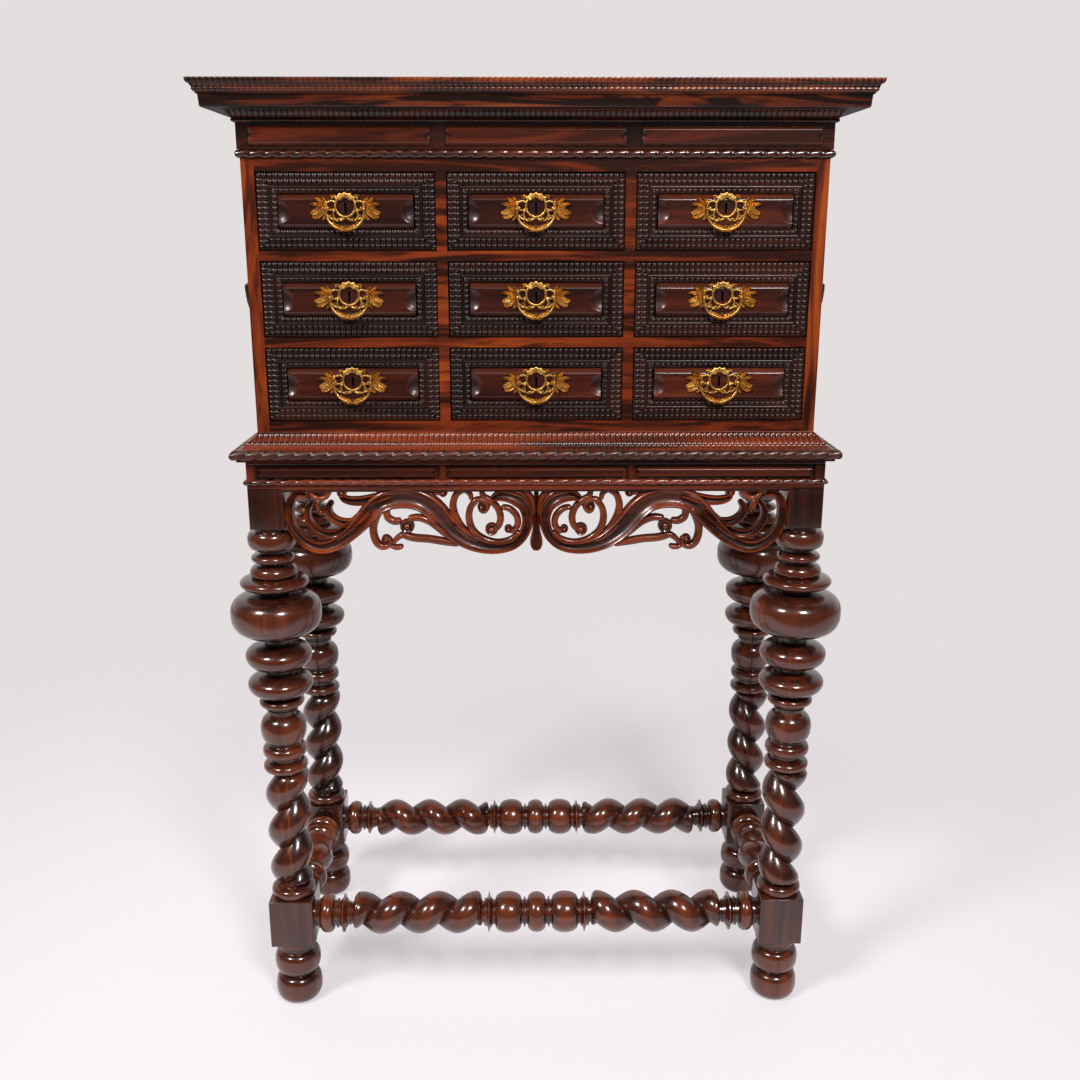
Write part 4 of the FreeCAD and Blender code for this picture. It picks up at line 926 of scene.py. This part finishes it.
# %% Base moulding
BASE_FOOT = corners("base_moulding")[0][2]
shell = Shell()
surround(shell, section_through(
    (0.0, 0.0), (20.0, 0.0), (27.4, 1.2), (27.4, 4.2), (26.0, 6.0), (25.6, 18.4), (17.4, 22.6, -0.8, 0.01, 5),
    (16.8, 23.4), (12.2, 29.2, 1.8, 1.3), (0.4, 40.4, -2.4, 1.7, 9), (0.0, 41.0),
), BASE_FOOT)
low = (-HALF_CASE + 2, CASE_FRONT + 2, BASE_FOOT + 26)
rounded_block(shell, low, (HALF_CASE - 2, CASE_BACK - 0.4, BASE_FOOT + 40.6), 0.8)
low = (-HALF_CASE + 0.5, CASE_BACK - 20, BASE_FOOT + 0.2)
rounded_block(shell, low, (HALF_CASE - 0.5, CASE_BACK - 0.5, BASE_FOOT + 26.4), 0.8)
piece = make_piece("base_moulding_carved", shell, "cabinet", red_carved, ("base_moulding",))
shell = Shell()
rope(shell, 7.6, 28.4, BASE_FOOT + 11.5, 23.5, around=24)
rope_piece = make_piece("base_rope", shell, "cabinet", rope_carved, sharp=60)
print("base faces:", len(piece.data.polygons), "rope faces:", len(rope_piece.data.polygons))

# %% [markdown]
# ## The stand's rails
# The stand is a frame of four rails. Its front carries three long panels like those of the
# frieze, and a thin rope moulding runs under them.

# %% Stand rails
HALF_STAND, STAND_FRONT, STAND_BACK = 426.0, -186.0, 186.0
RAIL_THICK = 26
RAIL_FOOT, RAIL_TOP = corners("stand_frame")[0][2], corners("stand_frame")[1][2]
LEDGE_LOW, LEDGE_HIGH = 892.0, 915.0
STAND_PITCH, PANEL_HALF = 277.0, 133.5

shell = Shell()
for y_low, y_high in ((STAND_FRONT + 4.0, STAND_FRONT + RAIL_THICK), (STAND_BACK - RAIL_THICK, STAND_BACK)):
    low = (-HALF_STAND + 0.4, y_low, RAIL_FOOT + 0.2)
    rounded_block(shell, low, (HALF_STAND - 0.4, y_high, RAIL_TOP - 0.2), 1.0)
for x_low in (-HALF_STAND, HALF_STAND - RAIL_THICK):
    low = (x_low, STAND_FRONT + RAIL_THICK + 0.02, RAIL_FOOT)
    rounded_block(shell, low, (x_low + RAIL_THICK, STAND_BACK - RAIL_THICK - 0.02, RAIL_TOP), 1.2, "y")
for z_low, z_high in ((RAIL_FOOT, LEDGE_LOW), (LEDGE_HIGH, RAIL_TOP)):
    rounded_block(shell, (-HALF_STAND, STAND_FRONT, z_low), (HALF_STAND, STAND_FRONT + 5, z_high), 1.2)
for x_low, x_high in (
    (-HALF_STAND, -STAND_PITCH - PANEL_HALF), (-STAND_PITCH + PANEL_HALF, -PANEL_HALF),
    (PANEL_HALF, STAND_PITCH - PANEL_HALF), (STAND_PITCH + PANEL_HALF, HALF_STAND),
):
    low, high = (x_low, STAND_FRONT, LEDGE_LOW - 0.5), (x_high, STAND_FRONT + 5, LEDGE_HIGH + 0.5)
    rounded_block(shell, low, high, 0.8, "z")
piece = make_piece("stand_rails", shell, "cabinet", red_carved, ("stand_frame",))
ledge_middle = (LEDGE_LOW + LEDGE_HIGH) / 2
shell = three_panels(STAND_PITCH, STAND_FRONT + 4.0, ledge_middle, 128.5, 8.4, 7.6, 4.2, 4.0)
make_piece("stand_panels", shell, "cabinet", panel_carved)
shell = Shell()
rope(shell, 4.3, 17.0, LEDGE_LOW - 3.0, 21.0, front=STAND_FRONT + 17.0, strand=0.42)
rope_piece = make_piece(
    "rope_lower", shell, "cabinet", apron_carved, ("rope_moulding_lower",), sharp=60
)
print("rails faces:", len(piece.data.polygons), "rope faces:", len(rope_piece.data.polygons))

# %% [markdown]
# ## Drawer fronts
# Each front is a board framed by five bands: two rippled beads, a smooth bead, another rippled
# bead and a fillet, all mitred at the corners. Inside them lies a raised panel with rounded long
# edges and scooped ends, with a keyhole under the brass mount.

# %% Drawer fronts
face_low, face_high = corners("drawer_22_front")
HALF_FRONT = (face_high[0] - face_low[0]) / 2
HALF_HEIGHT = (face_high[2] - face_low[2]) / 2
FACE = face_high[1] - 17.0
KEYHOLE = (1.7, -2.0, 12.5)

BANDS = section_through(
    (0.0, -0.4), (0.0, 0.9), (0.6, 1.6), (9.2, 2.3, -2.1, 2.3), (17.2, 3.0, -2.3, 2.4), (21.6, 3.8, -1.6, 0.0, 6),
    (28.0, 2.6, -1.9, 2.1, 6), (30.0, 1.2), (31.0, -0.4),
)


def drawer_face(centre_x, centre_z):
    """Board and four mitred runs of the bands of one drawer front. The bands are drawn inwards from
    the board's edge, so their normal points into the wood: with the rise mirrored, rise = 2 * up -
    rise, the waves sink."""
    shell = Shell()
    low = (centre_x - HALF_FRONT, FACE, centre_z - HALF_HEIGHT)
    high = (centre_x + HALF_FRONT, face_high[1], centre_z + HALF_HEIGHT)
    rounded_block(shell, low, high, 0.4, steps=1)
    inward, up, _ = BANDS.T
    for half, other, waves, grain in ((HALF_FRONT, HALF_HEIGHT, 32, "x"), (HALF_HEIGHT, HALF_FRONT, 14, "z")):
        along, reach, rise, relief = run(BANDS, inward - half, half - inward, 2 * half / waves, 8)
        for side in (-1, 1):
            across = side * (other - reach)
            x, z = (along, across) if grain == "x" else (across, along)
            points = np.stack([centre_x + x, FACE - (2 * up - rise), centre_z + z], axis=-1)
            shell.grid(points, around=True, relief=relief, grain=grain)
    return shell


drawers = []
for row in (1, 2, 3):
    for column in (1, 2, 3):
        name = f"drawer_{row}{column}"
        low, high = corners(f"{name}_front")
        drawers.append((name, f"bail_{row}{column}", (low[0] + high[0]) / 2, (low[2] + high[2]) / 2))
for name, _, x, z in drawers:
    piece = make_piece(f"{name}_face", drawer_face(x, z), name, band_carved, (f"{name}_front",))
    shell = Shell()
    raised_panel(shell, (x, FACE, z), HALF_FRONT - 30.6, HALF_HEIGHT - 29.0, 9.0, 8.0, 16.0, KEYHOLE)
    make_piece(f"{name}_panel", shell, name, panel_carved)
print("faces of a drawer front:", len(piece.data.polygons))

# %% [markdown]
# ## Carved and cast strokes
# The apron's scrolls and the leaves of the brass mounts are both strokes: a centre line that a
# carver draws first, a width that swells and tapers along it, and a section cut across it, such
# as a channel between two raised rims. Each stroke is a grid along and across its line, closed by
# a flat back, with rounded ends.

# %% Strokes and buttons
def mirrored(half):
    """Section from its left half: the points are repeated on the right of the last one."""
    return np.array(half + [(-u, h) for u, h in half[-2::-1]])


CHANNEL = mirrored([
    (-1.0, 0.0), (-1.0, 0.40), (-0.94, 0.72), (-0.86, 0.94), (-0.76, 1.0), (-0.66, 0.92), (-0.50, 0.66),
    (-0.26, 0.48), (0.0, 0.43),
])
ROUND = mirrored([(-1.0, 0.0), (-1.0, 0.45), (-0.93, 0.68), (-0.76, 0.88), (-0.45, 0.98), (0.0, 1.0)])
VEINED = mirrored([
    (-1.0, 0.0), (-1.0, 0.30), (-0.85, 0.55), (-0.68, 0.80), (-0.50, 0.62), (-0.30, 0.90), (-0.14, 0.74),
    (0.0, 1.0),
])
BUTTON = np.array([
    (1.0, 0.0), (1.0, 0.5), (0.95, 0.75), (0.84, 0.93), (0.72, 0.92), (0.60, 0.76), (0.50, 0.74), (0.40, 0.92),
    (0.24, 1.06), (0.0, 1.10),
])


def stroke(shell, controls, section, back, rise, flip=1, spacing=2.6):
    """Closed stroke on the plane y = back, towards -Y. Controls are (x, z, width); across the line,
    place = line + normal * width / 2 * u and height = rise * h, where (u, h) are the section's
    points. Near both ends width and height follow a half circle."""
    dense = curve_through(controls, 40 * len(controls))
    reach = np.concatenate([[0.0], np.cumsum(np.hypot(*np.diff(dense[:, :2], axis=0).T))])
    total = reach[-1]
    count = max(9, int(total / spacing))
    share = np.linspace(0, 1, count)
    share = 0.6 * share + 0.4 * (1 - np.cos(math.pi * share)) / 2
    x, z, width = (np.interp(share * total, reach, column) for column in dense.T)
    slope_x, slope_z = np.gradient(x), np.gradient(z)
    length = np.maximum(np.hypot(slope_x, slope_z), 1e-9)
    from_end = np.minimum(share, 1 - share) * total
    cap = np.minimum(width / 2, total / 2)
    round_off = np.sqrt(np.clip(1 - (1 - np.minimum(from_end / cap, 1)) ** 2, 0.004, 1))
    half = (width / 2 * round_off)[:, None]
    u, h = section.T
    place_x = x[:, None] - (slope_z / length)[:, None] * half * u
    place_z = z[:, None] + (slope_x / length)[:, None] * half * u
    height = rise * h * (0.45 + 0.55 * round_off)[:, None]
    points = np.stack([flip * place_x, back - height, place_z], axis=-1)
    shell.grid(points, around=True, relief=np.clip((h - 0.42) / 0.55, 0, 1))


def button(shell, x, z, radius, back, rise, petals=0):
    """Round button on the plane y = back: a rim, a ring groove and a crowned middle, spun round Y.
    Petals notch the rim."""
    profile, height = BUTTON[:, :1], BUTTON[:, 1:]
    turn = full_turn(36)
    notch = 1 - 0.10 * (1 - np.abs(np.sin(petals * turn / 2)) ** 0.6) if petals else np.ones_like(turn)
    reach = radius * profile * np.where(profile > 0.55, notch, 1.0)
    rises = np.broadcast_to(rise * height, reach.shape)
    points = np.stack([x + reach * np.cos(turn), back - rises, z + reach * np.sin(turn)], axis=-1)
    shell.grid(points, around=True, relief=np.clip((height - 0.6) / 0.4, 0, 1))


print("strokes ready")

# %% [markdown]
# ## The carved apron
# A symmetric pair of acanthus scrolls is sawn from a board and carved. The main stem springs from
# a curl at the leg, sweeps down and up over the middle of each half and rolls into a large scroll
# beside the hanging bud in the centre. Stalks, tendrils and small buds fill the space.

# %% Apron
# Each control is (x, z, width): x in thousandths of the half width from the middle, z in thousandths
# of the height from the top
STEM = [
    (912, 90, 7.5), (947, 72, 9.9), (975, 186, 11.0), (984, 380, 11.6), (975, 590, 12.2),
    (943, 769, 13.3), (897, 889, 14.5), (851, 910, 15.7), (798, 838, 16.8), (744, 689, 18.6),
    (691, 480, 22.9), (637, 265, 25.6), (584, 162, 27.4), (515, 142, 27.9), (458, 190, 27.9),
    (408, 325, 27.9), (363, 530, 26.8), (317, 702, 24.5), (263, 834, 21.1), (202, 910, 17.4),
    (141, 920, 14.6), (88, 860, 12.8), (50, 710, 12.8), (34, 500, 13.8), (44, 290, 16.9),
    (72, 160, 21.1), (107, 110, 18.5), (149, 116, 12.6), (182, 181, 6.4),
]
SCROLLS = [
    [(888, 192, 5.2), (908, 290, 7.0), (912, 440, 8.1), (891, 605, 9.3), (851, 701, 9.9),
     (805, 701, 9.9), (760, 611, 10.4), (714, 470, 10.4), (668, 290, 8.7)],
    [(576, 92, 5.8), (630, 141, 9.9), (683, 186, 10.4), (729, 192, 9.3), (763, 156, 7.5),
     (779, 72, 5.8)],
    [(664, 335, 8.1), (706, 470, 9.3), (744, 530, 9.3), (790, 509, 9.3), (822, 410, 8.7),
     (828, 290, 7.5), (811, 186, 6.4)],
]
TENDRILS = [
    [(901, 12, 5.2), (885, 111, 5.8), (859, 156, 6.4), (832, 111, 5.8), (817, 12, 5.2)],
    [(859, 156, 5.8), (870, 246, 6.4), (859, 350, 6.4)],
    [(573, 216, 6.4), (595, 320, 7.5), (595, 440, 8.1), (569, 509, 8.1), (538, 500, 7.5)],
    [(515, 470, 7.0), (469, 455, 8.1), (424, 521, 8.1), (378, 665, 7.5), (340, 784, 5.8)],
    [(615, 305, 7.5), (641, 455, 8.7), (654, 635, 8.7), (645, 814, 8.7), (621, 904, 8.1),
     (593, 880, 6.4), (588, 784, 5.2), (611, 749, 4.1)],
    [(588, 889, 4.6), (561, 919, 6.4), (534, 898, 5.2)],
    [(580, 868, 4.6), (557, 769, 6.4), (527, 701, 7.0)],
    [(542, 710, 8.1), (492, 769, 8.7), (431, 790, 8.7), (370, 829, 8.7), (309, 868, 7.0)],
    [(412, 51, 7.5), (370, 66, 7.0)],
    [(286, 21, 5.8), (318, 96, 7.5), (332, 246, 8.1), (326, 410, 8.7), (302, 590, 8.7),
     (263, 740, 7.5)],
    [(321, 30, 4.6), (286, 32, 5.2), (263, 96, 5.8), (260, 186, 5.2)],
    [(237, 186, 5.8), (263, 305, 7.5), (269, 485, 8.1), (252, 665, 8.1), (210, 790, 7.5),
     (156, 838, 6.4), (103, 790, 5.8), (65, 665, 5.2)],
    [(263, 290, 5.8), (244, 186, 6.4), (210, 186, 6.4), (193, 275, 5.8), (210, 359, 5.8),
     (231, 311, 4.1)],
    [(218, 12, 5.8), (211, 126, 7.0), (183, 192, 7.5), (155, 305, 7.5), (143, 455, 8.1),
     (153, 590, 7.5), (176, 650, 7.0)],
    [(141, 290, 5.8), (107, 320, 7.0), (80, 425, 7.5), (74, 560, 7.5), (92, 660, 6.4), (110, 655, 5.2)],
    [(61, 21, 5.8), (27, 111, 7.0), (12, 246, 6.4), (10, 425, 5.2)],
]
WEBS = [
    [(630, 120, 5.0), (585, 60, 9.0), (520, 30, 12.0), (450, 50, 11.0), (405, 110, 6.0)],
    [(150, 30, 6.0), (100, 50, 12.0), (50, 120, 12.0), (24, 300, 6.0)],
    [(880, 760, 7.0), (800, 760, 10.0), (720, 560, 10.0)],
    [(330, 560, 6.0), (290, 700, 9.0), (230, 830, 7.0)],
]
BUDS = [
    (773, 60, 5.8), (857, 350, 4.6), (517, 584, 8.7), (603, 790, 5.8), (370, 66, 5.2),
    (218, 281, 5.2), (179, 635, 7.8), (112, 629, 4.9),
]
PENDANT = [(0, 12, 7.5), (0, 335, 7.0), (0, 635, 11.6), (0, 829, 19.1), (0, 975, 14.5)]

apron_low, apron_high = corners("apron_front")
APRON_HALF, APRON_BACK, APRON_TOP = apron_high
THICK, TALL = (apron_high - apron_low)[1:]


def on_apron(controls, side, widen=1.0):
    """Controls in millimetres on one half of the apron, with their widths widened."""
    x, z, width = np.array(controls, float).T
    return np.stack([side * 0.001 * x * APRON_HALF, APRON_TOP - 0.001 * z * TALL, width * widen], axis=-1)


shell = Shell()
for side in (-1, 1):
    stroke(shell, on_apron(STEM, side, 1.22), CHANNEL, APRON_BACK, THICK - 0.1)
    for controls in WEBS:
        stroke(shell, on_apron(controls, side), ROUND, APRON_BACK - 0.5, THICK - 5.0)
    for controls in SCROLLS:
        stroke(shell, on_apron(controls, side, 1.4), CHANNEL, APRON_BACK - 0.2, THICK - 1.6)
    for number, controls in enumerate(TENDRILS):
        stroke(shell, on_apron(controls, side, 1.32), ROUND, APRON_BACK - 0.3, THICK - 2.6 - 0.07 * number)
    for x, z, radius in on_apron(BUDS, side, 1.25):
        button(shell, x, z, radius, APRON_BACK - 0.4, THICK - 2.0)
stroke(shell, on_apron(PENDANT, 1), CHANNEL, APRON_BACK - 0.1, THICK - 1.0)
low = (-APRON_HALF, apron_low[1] + 2.0, APRON_TOP - 4.0)
rounded_block(shell, low, (APRON_HALF, APRON_BACK, APRON_TOP + 0.4), 0.8)
piece = make_piece("apron_carving", shell, "cabinet", apron_carved, ("apron_front",), sharp=55)
print("apron faces:", len(piece.data.polygons))

# %% [markdown]
# ## Gilt-brass mounts, bails and locks
# A pierced mount was cast, chased and gilt: a ring round the keyhole under a fluted shell, posts
# for the bail, and a spray of leaves on either side. They are small strokes again, veined like
# leaves. The bail is a wire along a curve, thick in the middle, where it carries a leaf. An iron
# lock case sits behind each front.

# %% Mounts and bails
FAN = [(angle, 13.6 if number % 2 == 0 else 12.4) for number, angle in enumerate(np.linspace(28, 152, 9))]
RING = [(math.cos(a) * 14.0, 7.5 + math.sin(a) * 14.5, 3.4) for a in np.radians(np.linspace(-250, 70, 13))]
STRAPS = [
    [(27.0, 15.5, 3.0), (26.0, 9.0, 3.6), (25.6, 1.0, 3.6), (26.4, -5.5, 3.2), (24.6, -10.5, 2.6)],
    [(13.4, 12.5, 2.6), (19.0, 14.5, 3.2), (26.0, 12.0, 2.8)],
    [(14.0, 4.5, 2.6), (19.5, 2.0, 3.0), (26.0, 3.8, 2.8)],
    [(15.2, 3.0, 2.8), (17.4, -3.5, 3.6), (15.8, -9.5, 3.4), (11.4, -12.4, 3.0), (8.2, -10.2, 2.4),
     (9.4, -7.4, 2.0)],
    [(25.6, -4.0, 2.6), (21.0, -8.5, 3.0), (16.0, -11.0, 2.6)],
    [(0.0, -6.0, 4.4), (3.4, -9.6, 3.6), (8.6, -12.6, 3.0)],
]
LEAVES = [
    [(27.5, 5.5, 4.0), (35.0, 8.5, 6.4), (43.0, 10.2, 5.6), (49.6, 9.4, 2.4)],
    [(27.5, 7.5, 4.0), (33.0, 13.0, 6.2), (38.5, 17.2, 5.0), (40.5, 19.2, 2.4)],
    [(26.5, 9.5, 3.4), (28.6, 15.5, 4.8), (32.4, 19.8, 3.6)],
    [(28.0, 3.0, 4.4), (36.5, 2.5, 7.4), (44.5, -1.5, 7.6), (49.4, -1.0, 3.4)],
    [(28.0, 1.0, 4.2), (34.5, -3.5, 7.0), (41.5, -7.6, 6.0), (47.2, -6.4, 2.8)],
    [(26.8, -2.0, 3.6), (29.0, -7.5, 5.0), (33.5, -11.5, 3.4)],
    [(11.0, 18.5, 3.8), (15.0, 21.0, 5.2), (20.6, 20.6, 2.6)],
]
SPRAY = [(25.0, 3.5, 8.0), (31.0, 4.0, 17.0), (37.0, 3.4, 15.0), (41.5, 2.8, 8.0)]
BERRIES = [
    (31.5, 5.2, 1.9), (34.8, -0.4, 1.8), (33.2, 10.6, 1.7), (38.6, 6.0, 1.5), (17.4, 18.6, 1.6), (20.2, -4.8, 1.6),
]
BAIL_BEADS = [(4.2, -21.4, 2.3), (9.0, -20.2, 2.1), (13.2, -17.8, 1.9), (16.6, -14.8, 1.7)]
HALF_BAIL = [
    (26.6, 4.0, 1.9), (26.4, -1.0, 1.5), (24.6, -9.0, 1.5), (20.5, -15.5, 1.7), (14.5, -20.4, 2.0),
    (7.5, -23.4, 2.2),
]
BAIL_LEAVES = [
    [(1.0, -22.6, 3.4), (6.0, -21.6, 6.4), (12.0, -18.8, 4.6), (15.6, -15.6, 2.2)],
    [(0.5, -25.0, 3.0), (5.0, -25.4, 4.4), (10.4, -23.6, 3.0), (13.0, -21.6, 1.8)],
]
BAIL_DROP = [(0.0, -17.6, 2.6), (0.0, -21.0, 6.0), (0.0, -24.6, 5.6), (0.0, -26.4, 3.2)]
SPOKE = ((0.36, 3.2), (0.62, 4.2), (0.86, 5.2), (1.0, 4.6))
MOUNT_BACK = FACE - 8.8
PIVOT_Y, PIVOT_RISE, BAIL_HALF = -179.2, 4.0, 26.7


def tube(shell, controls, around=10, across=(0.0, 1.0, 0.0), flat=1.0):
    """Closed tube along controls (x, y, z, radius): ring = line + radius * (cos a * across * flat +
    sin a * side), where side stands square to the line and to the across direction."""
    dense = curve_through(controls, 9 * len(controls))
    line, radius = dense[:, :3], dense[:, 3]
    across = np.asarray(across)
    side = np.cross(np.gradient(line, axis=0), across)
    side /= np.linalg.norm(side, axis=1)[:, None]
    turn = full_turn(around)[None, :, None]
    ring = flat * np.cos(turn) * across + np.sin(turn) * side[:, None, :]
    shell.grid(line[:, None, :] + radius[:, None, None] * ring, around=True, relief=0.8)


def mount_shell():
    """One mount round the middle of its drawer."""
    shell = Shell()
    for angle, reach in FAN:
        x, z = 1.22 * reach * math.cos(math.radians(angle)), reach * math.sin(math.radians(angle))
        controls = [(share * x, 13.4 + share * z, width) for share, width in SPOKE]
        stroke(shell, controls, ROUND, MOUNT_BACK, 3.6, spacing=1.6)
    stroke(shell, RING, ROUND, MOUNT_BACK, 3.0, spacing=2.0)
    for flip in (-1, 1):
        for number, controls in enumerate(STRAPS):
            stroke(shell, controls, ROUND, MOUNT_BACK, 2.6 - 0.1 * number, flip=flip, spacing=1.8)
        for number, controls in enumerate(LEAVES):
            stroke(shell, controls, VEINED, MOUNT_BACK, 3.8 - 0.25 * number, flip=flip, spacing=1.4)
        stroke(shell, SPRAY, ROUND, MOUNT_BACK, 1.3, flip=flip, spacing=1.8)
        for berry_x, berry_z, radius in BERRIES:
            button(shell, flip * berry_x, berry_z, radius, MOUNT_BACK - 0.8, 3.2)
        button(shell, flip * 10.2, -9.6, 2.2, MOUNT_BACK, 3.4)
        button(shell, flip * 26.2, 10.5, 2.5, MOUNT_BACK, 4.2)
        low = (min(flip * 21.9, flip * 24.1), PIVOT_Y - 2.6, PIVOT_RISE - 2.8)
        rounded_block(shell, low, (low[0] + 2.2, MOUNT_BACK + 0.5, PIVOT_RISE + 2.8), 0.8, steps=2)
    return shell


def bail_shell():
    """One bail: two eyes on pins, a curved wire and a veined leaf on its middle."""
    shell = Shell()

    def wire(controls, *options):
        tube(shell, [(x, PIVOT_Y, z, radius) for x, z, radius in controls], *options)

    for bead_x, bead_z, radius in BAIL_BEADS:
        for flip in (-1, 1):
            button(shell, flip * bead_x, bead_z, radius, PIVOT_Y + 0.9, 2.7)
    line = [(-x, z, radius) for x, z, radius in HALF_BAIL] + [(0.0, -24.3, 2.3)] + HALF_BAIL[::-1]
    wire(line, 10, (0.0, 1.0, 0.0), 0.75)
    for flip in (-1, 1):
        wire([(flip * x, PIVOT_RISE, 1.1) for x in (27.6, 24.5, 21.6)], 8)
        eye = ((BAIL_HALF - 1.6, 1.9), (BAIL_HALF, 2.7), (BAIL_HALF + 1.5, 1.7))
        wire([(flip * x, PIVOT_RISE, radius) for x, radius in eye], 12)
        for controls in BAIL_LEAVES:
            stroke(shell, controls, VEINED, PIVOT_Y + 1.0, 3.0, flip, 1.6)
    stroke(shell, BAIL_DROP, VEINED, PIVOT_Y + 1.0, 3.3, spacing=1.4)
    return shell


def lock_shell():
    """Iron lock case behind the front, with a rounded edge."""
    shell = Shell()
    back = corners("drawer_22_mount")[1][1]
    rounded_block(shell, (-23, back - 7.0, -12), (23, back, 22), 1.5)
    rounded_block(shell, (-6, back - 0.2, 19), (6, back + 0.01, 21), 0.05)
    return shell


mounts, bails, locks = mount_shell(), bail_shell(), lock_shell()
for name, bail, x, z in drawers:
    offset = np.array((x, 0.0, z))
    make_piece(f"{name}_escutcheon", mounts.move(offset), name, gilt, (f"{name}_mount",), sharp=50)
    make_piece(f"{name}_lock", locks.move(offset), name, iron)
    make_piece(f"{name}_handle", bails.move(offset), bail, gilt, (f"{name}_bail",), sharp=50)
print("faces of a mount:", sum(map(len, mounts.quads)), "of a bail:", sum(map(len, bails.quads)))

# %% [markdown]
# ## Carrying handles
# On each side of the case hangs an iron handle: two petalled plates, a post on each, and a D-shaped
# grip that is thickest where the hand takes it.

# %% Side handles
handle_low, handle_high = corners("handle_right")
HANDLE_X, HANDLE_Y = ((handle_low + handle_high) / 2)[:2]
HANDLE_Z = handle_high[2] - 4.5
POST = [(-1, 8.5), (-6, 5.0), (-22, 4.2), (-27, 5.4), (-30, 6.4), (-35.5, 3.0)]
HALF_GRIP = [(55.0, -0.5, 4.2), (55.4, -8.0, 3.4), (51.0, -19.0, 3.4), (39.0, -30.0, 3.6), (22.0, -38.6, 3.8)]
SIDEWAYS = (1.0, 0.0, 0.0)


def on_case_side(side, along):
    """Place for a shell: what is made on the plane y = 0 and faces -Y goes onto a side of the case."""
    def place(points):
        x, y, z = np.moveaxis(np.asarray(points, float), -1, 0)
        return np.stack([side * (HALF_CASE - y), HANDLE_Y + along + x, HANDLE_Z + z], axis=-1)
    return place


plates = Shell()
for side in (-1, 1):
    for along in (-46.0, 46.0):
        plates.place = on_case_side(side, along)
        button(plates, 0.0, 0.0, 18.0, 0.0, 3.2, petals=8)
        tube(plates, [(0, y, 0, radius) for y, radius in POST], 14, SIDEWAYS)
make_piece("handle_rosettes", plates, "cabinet", iron, ("handle_plates",))
for side, label in ((-1, "left"), (1, "right")):
    shell = Shell()
    x = side * HANDLE_X
    arch = [(-y, z, radius) for y, z, radius in HALF_GRIP] + [(0, -41.5, 4.4)] + HALF_GRIP[::-1]
    tube(shell, [(x, HANDLE_Y + y, HANDLE_Z + z, radius) for y, z, radius in arch], 12, SIDEWAYS)
    for end in (-1, 1):
        tube(shell, [(x, HANDLE_Y + end * reach, HANDLE_Z, 2.8) for reach in (56.0, 49.0, 42.0)], 10, SIDEWAYS)
    piece = make_piece(f"handle_{label}_grip", shell, f"handle_{label}", iron, (f"handle_{label}",))
print("grip faces:", len(piece.data.polygons))

# %% [markdown]
# ## The boards that stay as they are
# The case's sides, top, back and dividers are plain boards whose CAD shapes are already right.
# They keep their meshes and get the finish of their wood, with the grain along each board.

# %% Finishes of the CAD boards
for node, finish in (
    ("case_side_left", red_boards["z"]), ("case_side_right", red_boards["z"]), ("case_top", red_boards["x"]),
    ("drawer_dividers", red_boards["x"]), ("case_bottom", red_boards["x"]), ("case_back", inner_boards["x"]),
    *((f"{name}_box", inner_boards["y"]) for name, *_ in drawers),
):
    cad_nodes[node].data.materials.clear()
    cad_nodes[node].data.materials.append(finish)
print("boards finished")
